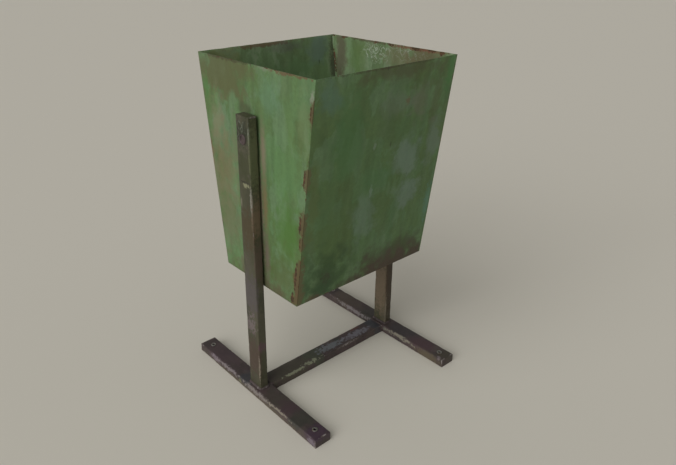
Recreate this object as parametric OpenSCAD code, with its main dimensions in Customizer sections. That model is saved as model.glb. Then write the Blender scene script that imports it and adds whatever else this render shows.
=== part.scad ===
// Tipping street litter bin: an open sheet-steel hopper that hangs on two
// pivot pins between the posts of an H-shaped stand of rectangular tube.
//
// X runs along the cross bar and the pivot axis, Y along the feet, Z up.
// The origin is the centre of the stand on the ground. Lengths are in mm.

/* [Hopper] */
// Side of the square mouth
mouth_w = 360; // [320:5:400]
// Front-to-back depth at the bottom
bottom_d = 240; // [180:5:300]
// Height of the hopper, bottom to mouth
hopper_h = 450; // [400:5:500]
// Height of the mouth above the ground
mouth_z = 720; // [700:5:800]
// Thickness of the hopper's sheet
sheet = 2; // [1.5:0.5:3]
// Diameter of the drain holes in the bottom
drain_d = 8; // [6:1:14]

/* [Stand] */
// Wide side of the tube's section
tube_w = 40; // [36:1:46]
// Narrow side of the tube's section
tube_t = 20; // [18:1:26]
// Wall of the tube, and thickness of its end plates
tube_wall = 2; // [1.5:0.25:3]
// Outer corner radius of the tube
tube_r = 2; // [1.5:0.25:3]
// Length of a foot over its end plates
foot_len = 430; // [380:5:500]
// Height of the posts above the ground, caps included
post_top_z = 630; // [610:5:650]
// Gap between the hopper's side and the post
side_gap = 5; // [5:0.5:8]
// Diameter of the anchor holes through the feet
anchor_d = 6.6; // [5.4:0.2:9]
// Distance of an anchor hole from the end of its foot
anchor_inset = 25; // [20:1:40]

/* [Pivot] */
// Distance of the pivot axis below the top of the posts
pivot_drop = 45; // [35:1:60]
// Diameter of the pivot pins
pin_d = 12; // [10:1:14]
// Length of a pivot pin
pin_len = 45; // [44:1:50]
// Radial running clearance of the pins in their bores
pin_play = 0.05; // [0.02:0.01:0.1]
// Side of the square reinforcing plates
plate_side = 60; // [50:2:70]
// Thickness of the reinforcing plates
plate_t = 4; // [3:0.5:4]
// Nominal diameter of the split pins
split_d = 3.2; // [2.5:0.1:3.5]

/* [Welds] */
// Leg of the fillets between the tubes
frame_leg = 4; // [3:0.5:5]
// Leg of the fillets inside the hopper
seam_leg = 3; // [2:0.5:4]

/* [Hidden] */
$fn = 72;

// Which side of the bin a piece is on, and which end of a foot
left = -1;
right = 1;
front = -1;
back = 1;

paint = "#4f7a4c";
frame_paint = "#4a4a40";
weld_metal = "#5c5348";
zinc = "#9a9a92";

// Stand
half_mouth = mouth_w / 2;
post_in_x = half_mouth + side_gap;
post_x = post_in_x + tube_t / 2;
post_out_x = post_in_x + tube_t;
foot_in_x = post_x - tube_w / 2;
post_len = post_top_z - tube_t - tube_wall;

// Hopper
bottom_z = mouth_z - hopper_h;
lean = atan((half_mouth - bottom_d / 2) / hopper_h);
sheet_y = sheet / cos(lean);
inner_x = half_mouth - sheet;

// Pivot
pivot_z = post_top_z - pivot_drop;
pin_r = pin_d / 2;
pin_chamfer = 1;
bore_r = pin_r + pin_play;
washer_bore_r = pin_r + 0.5;
washer_r = pin_d;
spacer_t = side_gap - 1;
end_washer_t = 2.5;
plate_x = inner_x - plate_t;
end_washer_x = plate_x - 0.5 - end_washer_t;
split_x = end_washer_x - split_d;

// Anchor washers, which lie on the feet
anchor_washer_r = 6;
anchor_washer_t = 1.6;

// Half the depth inside the hopper at a height z
function inner_y(z) = bottom_d / 2 + (z - bottom_z) * tan(lean) - sheet_y;

// Draws its children on the right side, or mirrored to the left one
module on_side(side) {
    if (side == left) mirror([1, 0, 0]) children();
    else children();
}

// Draws its children at the back, or mirrored to the front
module at_end(end) {
    if (end == front) mirror([0, 1, 0]) children();
    else children();
}

// Extrudes an outline of [y, z] points along X, from x0
module along_x(x0, length) {
    translate([x0, 0, 0]) rotate([90, 0, 90]) linear_extrude(length) children();
}

// Block on the XY plane, a by b at its base, whose sides lean in at 45 degrees
module frustum(a, b, h) {
    intersection() {
        rotate([90, 0, 0]) linear_extrude(b, center = true)
            polygon([[-a / 2, 0], [a / 2, 0], [a / 2 - h, h], [h - a / 2, h]]);
        rotate([90, 0, 90]) linear_extrude(a, center = true)
            polygon([[-b / 2, 0], [b / 2, 0], [b / 2 - h, h], [h - b / 2, h]]);
    }
}

// The tube's outline with round corners: a long in X and b in Y
module tube_outline(a, b, r) {
    square([a - 2 * r, b], center = true);
    square([a, b - 2 * r], center = true);
    for (x = [-1, 1], y = [-1, 1])
        translate([x * (a / 2 - r), y * (b / 2 - r)]) circle(r);
}

// A length of tube along Z, open at both ends
module tube(a, b, length) {
    linear_extrude(length) difference() {
        tube_outline(a, b, tube_r);
        square([a - 2 * tube_wall, b - 2 * tube_wall], center = true);
    }
}

// The same tube filled, for cutting the welds to it
module filled_tube(a, b, length) {
    linear_extrude(length) tube_outline(a, b, tube_r);
}

// ---- stand ----

// Places a foot's tube, which is drawn along Z, along Y on the ground
module as_foot(side, length) {
    on_side(side) translate([post_x, length / 2, tube_t / 2])
        rotate([90, 0, 0]) children();
}

module foot(side) {
    length = foot_len - 2 * tube_wall;
    color(frame_paint) difference() {
        as_foot(side, length) tube(tube_w, tube_t, length);
        on_side(side) for (y = [-1, 1])
            translate([post_x, y * (foot_len / 2 - anchor_inset), -1])
                cylinder(d = anchor_d, h = tube_t + 2);
    }
}

module foot_plate(side, end) {
    color(frame_paint) on_side(side) at_end(end)
        translate([post_x, foot_len / 2, tube_t / 2]) rotate([90, 0, 0])
            filled_tube(tube_w, tube_t, tube_wall);
}

module as_cross_bar() {
    translate([-foot_in_x, 0, tube_t / 2]) rotate([90, 0, 90]) children();
}

module cross_bar() {
    color(frame_paint) as_cross_bar() tube(tube_w, tube_t, 2 * foot_in_x);
}

module post(side) {
    color(frame_paint) on_side(side) difference() {
        translate([post_x, 0, tube_t]) tube(tube_t, tube_w, post_len);
        translate([post_in_x - 1, 0, pivot_z]) rotate([0, 90, 0])
            cylinder(r = bore_r, h = tube_t + 2);
    }
}

module post_cap(side) {
    color(frame_paint) on_side(side)
        translate([post_x, 0, post_top_z - tube_wall])
            filled_tube(tube_t, tube_w, tube_wall);
}

// Fillet round the foot of a post
module post_weld(side) {
    color(weld_metal) on_side(side) translate([post_x, 0, tube_t]) difference() {
        frustum(tube_t + 2 * frame_leg, tube_w + 2 * frame_leg, frame_leg);
        translate([0, 0, -1]) filled_tube(tube_t, tube_w, frame_leg + 2);
    }
}

// Bead over the top and down both sides of the cross bar's joint
module bar_weld(side) {
    top_r = 0.75 * frame_leg;
    side_r = 0.65 * frame_leg;
    top_len = tube_w + side_r;
    color(weld_metal) on_side(side) difference() {
        translate([foot_in_x, 0, 0]) {
            translate([0, top_len / 2, tube_t - 1]) rotate([90, 0, 0])
                cylinder(r = top_r, h = top_len);
            for (y = [-1, 1]) translate([0, y * tube_w / 2, tube_r])
                cylinder(r = side_r, h = tube_t - tube_r);
        }
        as_foot(right, foot_len) filled_tube(tube_w, tube_t, foot_len);
        as_cross_bar() filled_tube(tube_w, tube_t, 2 * foot_in_x);
    }
}

module anchor_washers() {
    color(zinc) for (x = [-1, 1], y = [-1, 1])
        translate([x * post_x, y * (foot_len / 2 - anchor_inset), tube_t])
            difference() {
                cylinder(r = anchor_washer_r, h = anchor_washer_t);
                translate([0, 0, -1]) cylinder(d = anchor_d, h = anchor_washer_t + 2);
            }
}

// ---- pivots ----

// Turns what is drawn along Z to run along +X, on the pivot axis, from x
module on_pivot(x) {
    translate([x, 0, pivot_z]) rotate([0, 90, 0]) children();
}

// Pin from the post's outer face inwards, with a cross hole near its end
module pivot_pin(side) {
    color(zinc) on_side(side) difference() {
        union() {
            on_pivot(post_out_x - pin_len + pin_chamfer)
                cylinder(r = pin_r, h = pin_len - pin_chamfer);
            on_pivot(post_out_x - pin_len)
                cylinder(r1 = pin_r - pin_chamfer, r2 = pin_r, h = pin_chamfer);
        }
        translate([split_x, 0, pivot_z - pin_d])
            cylinder(d = split_d + 0.2, h = 2 * pin_d);
    }
}

// Ring bead that holds the pin to the post's outer face
module pin_weld(side) {
    bead_r = 2.2;
    color(weld_metal) on_side(side) on_pivot(post_out_x) rotate_extrude()
        intersection() {
            translate([pin_r + bead_r, 0]) circle(bead_r);
            translate([pin_r, 0]) square([2 * bead_r, bead_r]);
        }
}

module washer(x, thickness) {
    for (side = [left, right]) on_side(side) on_pivot(x) difference() {
        cylinder(r = washer_r, h = thickness);
        translate([0, 0, -1]) cylinder(r = washer_bore_r, h = thickness + 2);
    }
}

module spacer_washers() {
    color(zinc) washer(half_mouth + 0.5, spacer_t);
}

module end_washers() {
    color(zinc) washer(end_washer_x, end_washer_t);
}

// Split pin through the cross hole: eye on top, legs spread below
module split_pin() {
    eye_r = split_d;
    wire_r = 0.36 * split_d;
    leg_len = 2.4 * split_d;
    below = pin_r + 1;
    above = pin_r + 2;
    translate([0, 0, -below]) cylinder(d = split_d, h = below + above);
    translate([0, 0, above + eye_r]) rotate([0, 90, 0])
        rotate_extrude() translate([eye_r, 0]) circle(wire_r);
    for (tilt = [-1, 1]) translate([0, 0, 1 - below])
        rotate([180 + 32 * tilt, 0, 0]) cylinder(r = wire_r, h = leg_len);
}

module split_pins() {
    color(zinc) for (side = [left, right]) on_side(side)
        translate([split_x, 0, pivot_z]) split_pin();
}

// ---- hopper ----

// Upright trapezoid plate with the pivot's bore
module side_plate(side) {
    color(paint) on_side(side) difference() {
        along_x(inner_x, sheet) polygon([
            [-bottom_d / 2, bottom_z], [bottom_d / 2, bottom_z],
            [half_mouth, mouth_z], [-half_mouth, mouth_z]
        ]);
        on_pivot(inner_x - 1) cylinder(r = bore_r, h = sheet + 2);
    }
}

// Leaning wall between the side plates
module wall(end) {
    color(paint) at_end(end) along_x(-inner_x, 2 * inner_x) polygon([
        [bottom_d / 2, bottom_z], [half_mouth, mouth_z],
        [half_mouth - sheet_y, mouth_z], [bottom_d / 2 - sheet_y, bottom_z]
    ]);
}

// Outline of the space inside the walls, from height z0 to z1
module inner_outline(z0, z1) {
    polygon([
        [-inner_y(z0), z0], [inner_y(z0), z0],
        [inner_y(z1), z1], [-inner_y(z1), z1]
    ]);
}

module bottom() {
    color(paint) difference() {
        along_x(-inner_x, 2 * inner_x) inner_outline(bottom_z, bottom_z + sheet);
        for (x = [-1, 1], y = [-1, 1])
            translate([x * inner_x / 2, y * bottom_d / 4, bottom_z - 1])
                cylinder(d = drain_d, h = sheet + 2);
    }
}

module pivot_plate(side) {
    color(paint) on_side(side) difference() {
        translate([plate_x, -plate_side / 2, pivot_z - plate_side / 2])
            cube([plate_t, plate_side, plate_side]);
        on_pivot(plate_x - 1) cylinder(r = bore_r, h = plate_t + 2);
    }
}

// Fillet round a reinforcing plate, on the hopper's inner face
module plate_weld(side) {
    base = plate_side + 2 * seam_leg;
    color(weld_metal) on_side(side) translate([inner_x, 0, pivot_z])
        rotate([0, -90, 0]) difference() {
            frustum(base, base, seam_leg);
            translate([0, 0, seam_leg / 2])
                cube([plate_side, plate_side, seam_leg + 2], center = true);
        }
}

// Fillet inside the hopper, all round its bottom
module bottom_weld() {
    z0 = bottom_z + sheet;
    color(weld_metal) intersection() {
        along_x(-inner_x, 2 * inner_x) inner_outline(z0, z0 + seam_leg);
        union() {
            for (end = [front, back]) at_end(end)
                along_x(-inner_x, 2 * inner_x) polygon([
                    [inner_y(z0) - seam_leg, z0], [inner_y(z0) + seam_leg, z0],
                    [inner_y(z0 + seam_leg), z0 + seam_leg]
                ]);
            for (side = [left, right]) on_side(side)
                translate([0, bottom_d, 0]) rotate([90, 0, 0])
                    linear_extrude(2 * bottom_d) polygon([
                        [inner_x - seam_leg, z0], [inner_x, z0],
                        [inner_x, z0 + seam_leg]
                    ]);
        }
    }
}

// Fillet up one of the hopper's corners, inside, following the leaning wall
module seam(side, end) {
    z0 = bottom_z + sheet + seam_leg + 1;
    length = (mouth_z - 3 - z0) / cos(lean);
    color(weld_metal) on_side(side) at_end(end)
        translate([inner_x, inner_y(z0), z0]) rotate([-lean, 0, 0])
            linear_extrude(length)
                polygon([[0, 0], [-seam_leg, 0], [0, -seam_leg]]);
}

foot(left);  // left_foot
foot(right);  // right_foot
cross_bar();
post(left);  // left_post
post(right);  // right_post
foot_plate(left, front);  // left_foot_front_plate
foot_plate(left, back);  // left_foot_back_plate
foot_plate(right, front);  // right_foot_front_plate
foot_plate(right, back);  // right_foot_back_plate
post_cap(left);  // left_post_cap
post_cap(right);  // right_post_cap
post_weld(left);  // left_post_weld
post_weld(right);  // right_post_weld
bar_weld(left);  // left_bar_weld
bar_weld(right);  // right_bar_weld
pivot_pin(left);  // left_pivot_pin
pivot_pin(right);  // right_pivot_pin
pin_weld(left);  // left_pin_weld
pin_weld(right);  // right_pin_weld
spacer_washers();
end_washers();
split_pins();
anchor_washers();
side_plate(left);  // left_side
side_plate(right);  // right_side
wall(front);  // front_wall
wall(back);  // back_wall
bottom();
pivot_plate(left);  // left_pivot_plate
pivot_plate(right);  // right_pivot_plate
plate_weld(left);  // left_plate_weld
plate_weld(right);  // right_plate_weld
bottom_weld();
seam(left, front);  // left_front_seam
seam(left, back);  // left_back_seam
seam(right, front);  // right_front_seam
seam(right, back);  // right_back_seam
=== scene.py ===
"""Looks of a tipping street litter bin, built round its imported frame.

The bin is an open hopper of brush-painted sheet steel that hangs on two pivot
pins in a stand of rectangular steel tube. X runs along the pivots, Y along
the feet and Z up. Sizes are named in millimetres, and MM turns them to metres.
"""

from __future__ import annotations

import logging
import math
from collections.abc import Callable, Iterable
from dataclasses import dataclass
from enum import Enum

import bmesh
import bpy
from mathutils import Matrix, Vector, noise


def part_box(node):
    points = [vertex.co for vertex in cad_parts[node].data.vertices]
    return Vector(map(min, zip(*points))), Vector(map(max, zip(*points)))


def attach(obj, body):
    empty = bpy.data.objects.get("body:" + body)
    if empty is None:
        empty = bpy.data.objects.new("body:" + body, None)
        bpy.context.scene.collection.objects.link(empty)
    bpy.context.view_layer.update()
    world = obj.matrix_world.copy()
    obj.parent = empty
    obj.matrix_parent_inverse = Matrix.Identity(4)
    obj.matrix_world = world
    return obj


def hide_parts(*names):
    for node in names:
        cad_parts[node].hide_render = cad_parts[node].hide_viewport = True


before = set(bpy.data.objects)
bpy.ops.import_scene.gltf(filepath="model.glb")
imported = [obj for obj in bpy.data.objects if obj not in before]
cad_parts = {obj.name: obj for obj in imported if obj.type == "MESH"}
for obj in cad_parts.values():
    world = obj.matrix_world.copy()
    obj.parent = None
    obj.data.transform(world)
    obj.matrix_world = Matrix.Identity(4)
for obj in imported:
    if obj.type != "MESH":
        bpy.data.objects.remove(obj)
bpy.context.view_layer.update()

LOG = logging.getLogger("litter_bin")
MM = 0.001
ALONG_X, ALONG_Y, UP = Vector((1, 0, 0)), Vector((0, 1, 0)), Vector((0, 0, 1))
SHARP_ANGLE = math.radians(38)
# Places closer together than this, in metres or as shares, are the same
TOUCH = 1e-6
# Radius of the bores that the pins run in, and length of the cutters that make holes, in mm
PIN_BORE = 6.05
CUTTER = 40


class Side(Enum):
    """Side of the bin, as the sign of its X."""

    LEFT = -1
    RIGHT = 1


class End(Enum):
    """End of the bin, as the sign of its Y."""

    FRONT = -1
    BACK = 1


class Body(Enum):
    """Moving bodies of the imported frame."""

    STAND = "stand"
    HOPPER = "hopper"


class Slot(Enum):
    """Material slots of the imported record, each used on one body only."""

    HOPPER = "hopper_paint"
    FRAME = "frame_paint"
    HOPPER_WELD = "hopper_weld"
    WELD = "weld"
    PIVOT = "pivot_steel"
    ZINC = "zinc"

    @property
    def body(self) -> Body:
        """The body that the slot's pieces ride on."""
        return Body.HOPPER if self in (Slot.HOPPER, Slot.HOPPER_WELD) else Body.STAND


class Plane(Enum):
    """Axes that a finish's marks are placed by."""

    YZ = (1, 2)
    XZ = (0, 2)
    XY = (0, 1)
    XYZ = (0, 1, 2)


# A point of a joint with the directions of its bead's two legs there
Joint = tuple[Vector, Vector, Vector]
# The joint at a share of its length
Path = Callable[[float], Joint]


def put(name: str, data: bpy.types.ID) -> bpy.types.Object:
    """Puts an object at the scene's origin.

    Args:
        name: its name.
        data: its mesh, light or camera.

    Returns:
        The object.
    """
    obj = bpy.data.objects.new(name, data)
    bpy.context.scene.collection.objects.link(obj)
    return obj


def facing(direction: Vector) -> Matrix:
    """Gives the turn that points the Z axis along a direction."""
    return direction.to_track_quat("Z", "Y").to_matrix().to_4x4()


def middle(node: str) -> Vector:
    """Gives the middle of a CAD node's box."""
    low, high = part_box(node)
    return (low + high) / 2


# ---------------------------------------------------------------- shading


def srgb(code: str) -> tuple[float, float, float, float]:
    """Turns an sRGB hex colour to a linear one.

    Args:
        code: colour such as "#4f7a4c".

    Returns:
        Linear red, green, blue and alpha.
    """
    shares = [int(code[i : i + 2], 16) / 255 for i in (1, 3, 5)]
    linear = [s / 12.92 if s <= 0.04045 else ((s + 0.055) / 1.055) ** 2.4 for s in shares]
    return (linear[0], linear[1], linear[2], 1.0)


def add(
    tree: bpy.types.NodeTree,
    kind: str,
    inputs: dict | None = None,
    stops: Iterable[tuple[float, str]] = (),
    **settings: object,
) -> bpy.types.Node:
    """Adds one shader node with its settings and links.

    Args:
        tree: node tree that takes the node.
        kind: the node's type, without its ShaderNode prefix.
        inputs: value, node or output socket for each input's name or index.
        stops: places and hex colours of a colour ramp.
        settings: the node's own properties.

    Returns:
        The new node.
    """
    node = tree.nodes.new("ShaderNode" + kind)
    for name, value in settings.items():
        setattr(node, name, value)
    for key, value in (inputs or {}).items():
        if isinstance(value, bpy.types.Node):
            value = next(out for out in value.outputs if out.enabled)
        if isinstance(value, bpy.types.NodeSocket):
            tree.links.new(value, node.inputs[key])
        else:
            node.inputs[key].default_value = value
    for index, (place, colour) in enumerate(stops):
        ramp = node.color_ramp.elements
        element = ramp[index] if index < 2 else ramp.new(place)
        element.position, element.color = place, srgb(colour)
    return node


def new_material(name: str) -> tuple[bpy.types.Material, bpy.types.NodeTree]:
    """Makes an empty node material.

    Args:
        name: name of the real finish.

    Returns:
        The material and its cleared node tree.
    """
    material = bpy.data.materials.new(name)
    material.use_nodes = True
    material.node_tree.nodes.clear()
    return material, material.node_tree


@dataclass(frozen=True)
class Mark:
    """A mark on a face: a stain, worn patch or scar, or a patch of painted light and shade.

    Attributes:
        at: centre in mm along the finish's axes.
        reach: half-widths of the mark in mm.
        colour: sRGB hex colour.
        strength: share of the colour at the centre.
        soft: width of the fading border, as a share of the reach.
        ragged: how far noise moves the border, as a share of the reach.
        bare: whether the paint is gone there.
        lines: whether the mark is a scribble of fine scratches.
        corner: whether the first place is counted from the front left corner.
    """

    at: tuple[float, ...]
    reach: tuple[float, ...]
    colour: str = "#4a2c1f"
    strength: float = 0.5
    soft: float = 0.7
    ragged: float = 0.5
    bare: bool = False
    lines: bool = False
    corner: bool = False


@dataclass(frozen=True)
class HopperEdges:
    """Edges of the hopper, for wear that starts at them.

    Attributes:
        half_mouth: half the side of the mouth in mm.
        half_bottom: half the depth of the bottom in mm.
        low: height of the bottom in mm.
        high: height of the mouth in mm.
    """

    half_mouth: float
    half_bottom: float
    low: float
    high: float

    def half_depth(self, tree: bpy.types.NodeTree, up: bpy.types.NodeSocket) -> bpy.types.Node:
        """Adds the hopper's half depth at a height.

        Args:
            tree: node tree to add to.
            up: height in mm.

        Returns:
            Node of the half depth in mm.
        """
        lean = (self.half_mouth - self.half_bottom) / (self.high - self.low)
        start = self.half_bottom - self.low * lean
        return add(tree, "Math", {0: up, 1: lean, 2: start}, operation="MULTIPLY_ADD")

    def gaps(self, tree: bpy.types.NodeTree, xyz: bpy.types.Node) -> list[bpy.types.Node]:
        """Adds the distances from a point to the hopper's faces.

        Args:
            tree: node tree to add to.
            xyz: node with the place in mm.

        Returns:
            Nodes of the distances to the sides, the walls and the ends.
        """
        up = xyz.outputs[2]
        side = add(tree, "Math", {0: xyz.outputs[0]}, operation="ABSOLUTE")
        wall = add(tree, "Math", {0: xyz.outputs[1]}, operation="ABSOLUTE")
        above = add(tree, "Math", {0: self.high, 1: up}, operation="SUBTRACT")
        below = add(tree, "Math", {0: up, 1: self.low}, operation="SUBTRACT")
        return [
            add(tree, "Math", {0: self.half_mouth, 1: side}, operation="SUBTRACT"),
            add(tree, "Math", {0: self.half_depth(tree, up), 1: wall}, operation="SUBTRACT"),
            add(tree, "Math", {0: above, 1: below}, operation="MINIMUM"),
        ]


@dataclass(frozen=True)
class BoxEdges:
    """Edges of a box-shaped piece, for wear that starts at them.

    Attributes:
        centre: centre of the box in mm.
        half: half-sizes of the box in mm.
    """

    centre: tuple[float, float, float]
    half: tuple[float, float, float]

    @classmethod
    def of(cls, node: str) -> BoxEdges:
        """Reads the box of a CAD node."""
        low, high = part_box(node)
        return cls(tuple(middle(node) / MM), tuple((high - low) / 2 / MM))

    def gaps(self, tree: bpy.types.NodeTree, xyz: bpy.types.Node) -> list[bpy.types.Node]:
        """Adds the distances from a point to the box's faces.

        Args:
            tree: node tree to add to.
            xyz: node with the place in mm.

        Returns:
            Nodes of the distances along X, Y and Z.
        """
        found = []
        for axis in range(3):
            off = add(tree, "Math", {0: xyz.outputs[axis], 1: self.centre[axis]}, operation="SUBTRACT")
            off = add(tree, "Math", {0: off}, operation="ABSOLUTE")
            found.append(add(tree, "Math", {0: self.half[axis], 1: off}, operation="SUBTRACT"))
        return found


# Mill scale and old brown rust as they show where paint has gone from sheet
RUST = ((0.30, "#332c1f"), (0.45, "#493926"), (0.58, "#614630"), (0.75, "#785a41"))
# Grey primer and dull bare steel among rust, as it shows where tube paint flakes
PRIMER = ((0.32, "#3a322c"), (0.45, "#5c524d"), (0.55, "#857d7a"), (0.68, "#a8a2a2"))
# Old green alkyd enamel, faded unevenly: olive, leaf green and a chalky blue-green
GREEN = ((0.28, "#566a3d"), (0.44, "#587447"), (0.56, "#5d7c51"), (0.72, "#67805e"))
# The same enamel inside the hopper, dulled by dirt and painted paler as painted light against the shade
# inside
INSIDE = ((0.28, "#5e6f49"), (0.44, "#688157"), (0.56, "#728c64"), (0.72, "#849474"))
# Dark olive enamel on the stand, gone brown
OLIVE = ((0.28, "#3a3b2b"), (0.44, "#444431"), (0.58, "#4c4a38"), (0.72, "#555044"))
# The same on the feet, where wet dirt has stained it brown-violet
DIRTY = ((0.28, "#3c3532"), (0.44, "#473b3b"), (0.58, "#4d3f40"), (0.72, "#534a44"))

# Nearly all of a noise's values lie between these
CALM, STRONG = 0.3, 0.7
# Sizes of the patterns in mm. Real bristle marks, grit and pits are 1 mm or less, and are drawn
# coarser so that they show: strokes 14 mm wide and 90 mm long, grit 7 mm and pits 2.5 mm
STROKE_WIDE, STROKE_LONG, GRIT, PIT = 14, 90, 7, 2.5
# Stained patches, the wandering of a fade's border, chips along edges, flakes and scratched curls
STAIN, WANDER, CHIP, FLAKE, CURL = 26, 20, 22, 34, 16
# Marks narrower than this to either side, in mm, have a fine-grained border
NARROW = 16
# Spacing and radius of the dark and the pale specks in mm, their colour, and a shift in mm
SPECKS = ((34.0, 2.8, "#333a26", 0.0), (42.0, 2.4, "#8f9f8a", 40.0))


@dataclass(frozen=True)
class Ground:
    """Places and noises that a finish's patterns are drawn from.

    Attributes:
        tree: node tree to add to.
        xyz: node with the place's coordinates in mm.
        where: node of the place in mm, shifted so that no two pieces match.
        grit: noise of a few mm.
        stain: noise of a few tens of mm.
    """

    tree: bpy.types.NodeTree
    xyz: bpy.types.Node
    where: bpy.types.Node
    grit: bpy.types.Node
    stain: bpy.types.Node

    @classmethod
    def start(cls, tree: bpy.types.NodeTree, seed: float) -> Ground:
        """Adds the places and noises to an empty node tree.

        Args:
            tree: node tree to add to.
            seed: shift of the patterns in mm.

        Returns:
            The places and noises.
        """
        place = add(tree, "TexCoord").outputs["Object"]
        mm = add(tree, "VectorMath", {0: place, "Scale": 1 / MM}, operation="SCALE")
        where = add(tree, "VectorMath", {0: mm, 1: (seed,) * 3}, operation="ADD")
        grit = add(tree, "TexNoise", {"Vector": where, "Scale": 1 / GRIT, "Detail": 5, "Roughness": 0.65})
        stain = add(tree, "TexNoise", {"Vector": where, "Scale": 1 / STAIN, "Detail": 5, "Roughness": 0.6})
        return cls(tree, add(tree, "SeparateXYZ", {0: mm}), where, grit, stain)


@dataclass(frozen=True)
class PaintedSteel:
    """Brush-painted mild steel after years outdoors.

    The paint keeps a low, uneven gloss, fades in blotches and downward
    streaks, and chips from the edges inwards to what is under it.

    Attributes:
        name: the finish's name.
        plane: plane that the marks are placed in.
        edges: edges that wear starts from.
        hues: paint colours, by a noise value.
        under: colours where the paint is gone, by a noise value.
        marks: stains, patches and scars, and patches of painted light and shade.
        blotch: size of the faded blotches in mm.
        streak: strength of the downward streaks.
        wear: furthest that edge wear reaches in mm.
        worn: share of the edges that is worn, 0 to 1.
        bald: share of the face that flakes away from the edges, 0 to 1.
        gloss: roughness of sound paint.
        seed: shift of every pattern in mm, so that no two pieces match.
    """

    name: str
    plane: Plane
    edges: HopperEdges | BoxEdges
    hues: tuple[tuple[float, str], ...] = GREEN
    under: tuple[tuple[float, str], ...] = RUST
    marks: tuple[Mark, ...] = ()
    blotch: float = 75.0
    streak: float = 0.35
    wear: float = 4.5
    worn: float = 0.3
    bald: float = 0.0
    gloss: float = 0.58
    seed: float = 0.0

    def build(self) -> bpy.types.Material:
        """Builds the node material.

        Returns:
            The material.
        """
        material, tree = new_material(self.name)
        on = Ground.start(tree, self.seed)
        colour = self._paint(on)
        colour, bare = self._marks(on, colour, self._edge_wear(on))
        colour = self._speckle(on, colour)
        under = add(tree, "ValToRGB", {0: on.grit}, stops=self.under)
        colour = add(tree, "Mix", {0: bare, 6: colour, 7: under}, data_type="RGBA")

        rough = add(tree, "MapRange", {
            0: on.stain, 1: CALM, 2: STRONG, 3: self.gloss - 0.08, 4: self.gloss + 0.1,
        })
        # Rust and primer are rougher than any of the paint
        rough = add(tree, "Mix", {0: bare, 2: rough, 3: 0.85}, data_type="FLOAT")
        shader = add(tree, "BsdfPrincipled", {
            "Base Color": colour, "Roughness": rough, "IOR": 1.5, "Specular IOR Level": 0.4,
            "Normal": self._relief(on, bare),
        })
        add(tree, "OutputMaterial", {"Surface": shader})
        return material

    def _paint(self, on: Ground) -> bpy.types.Node:
        """Adds the sound paint: faded patches, brush strokes, downward streaks and grime.

        Args:
            on: places and noises to draw from.

        Returns:
            Node of the paint's colour.
        """
        tree = on.tree
        tall = add(tree, "Mapping", {"Vector": on.where, "Scale": (1, 1, 0.55)})
        blotch = add(tree, "TexNoise", {
            "Vector": tall, "Scale": 1 / self.blotch, "Detail": 4, "Roughness": 0.55, "Distortion": 0.6,
        })
        # Patches where the paint has weathered apart, with borders that wander by some 12 mm
        wander = add(tree, "TexNoise", {"Vector": tall, "Scale": 1 / WANDER, "Detail": 3, "Roughness": 0.6})
        wander = add(tree, "VectorMath", {0: wander.outputs["Color"], "Scale": 55}, operation="SCALE")
        wander = add(tree, "VectorMath", {0: tall, 1: wander}, operation="ADD")
        patch = add(tree, "TexVoronoi", {
            "Vector": wander, "Scale": 2.4 / self.blotch, "Smoothness": 0.35,
        }, feature="SMOOTH_F1")
        patch = add(tree, "SeparateColor", {0: patch.outputs["Color"]})
        patch = add(tree, "MapRange", {0: patch, 1: 0.1, 2: 0.9, 3: 0.2, 4: 0.8})
        colour = add(tree, "ValToRGB", {0: blotch}, stops=self.hues)
        patch = add(tree, "ValToRGB", {0: patch}, stops=self.hues)
        colour = add(tree, "Mix", {0: 0.5, 6: colour, 7: patch}, data_type="RGBA")
        # Strokes and grime are greys that an overlay both darkens and lightens the paint with
        strokes = add(tree, "Mapping", {
            "Vector": on.where, "Scale": (1 / STROKE_WIDE, 1 / STROKE_WIDE, 1 / STROKE_LONG),
        })
        strokes = add(tree, "TexNoise", {"Vector": strokes, "Scale": 1.0, "Detail": 1.5, "Roughness": 0.4})
        strokes = add(tree, "MapRange", {0: strokes, 1: CALM, 2: STRONG, 3: 0.34, 4: 0.66})
        colour = add(tree, "Mix", {
            0: self.streak, 6: colour, 7: strokes,
        }, data_type="RGBA", blend_type="OVERLAY")
        grime = add(tree, "MapRange", {0: on.grit, 1: CALM, 2: STRONG, 3: 0.4, 4: 0.6})
        return add(tree, "Mix", {0: 0.5, 6: colour, 7: grime}, data_type="RGBA", blend_type="OVERLAY")

    def _edge_wear(self, on: Ground) -> bpy.types.Node:
        """Adds the mask of paint that has chipped away from the edges.

        Args:
            on: places and noises to draw from.

        Returns:
            Node of the mask, 1 where the paint is gone.
        """
        tree = on.tree
        a, b, c = self.edges.gaps(tree, on.xyz)
        # On a face one distance is nil, so the middle one of the three leads to its nearest edge
        low = add(tree, "Math", {0: a, 1: b}, operation="MINIMUM")
        high = add(tree, "Math", {0: a, 1: b}, operation="MAXIMUM")
        high = add(tree, "Math", {0: high, 1: c}, operation="MINIMUM")
        edge = add(tree, "Math", {0: low, 1: high}, operation="MAXIMUM")
        chips = add(tree, "TexNoise", {"Vector": on.where, "Scale": 1 / CHIP, "Detail": 6, "Roughness": 0.7})
        # The more of the edges is worn, the lower the noise at which a chip starts
        start = 0.62 - 0.25 * self.worn
        reach = add(tree, "MapRange", {0: chips, 1: start, 2: start + 0.22, 3: 0.0, 4: self.wear})
        depth = add(tree, "Math", {0: reach, 1: edge}, operation="SUBTRACT")
        bare = add(tree, "MapRange", {0: depth, 1: 0.0, 2: 0.5, 3: 0.0, 4: 1.0})
        if self.bald:
            flakes = add(tree, "TexNoise", {
                "Vector": on.where, "Scale": 1 / FLAKE, "Detail": 6, "Roughness": 0.68, "Distortion": 0.8,
            })
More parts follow.
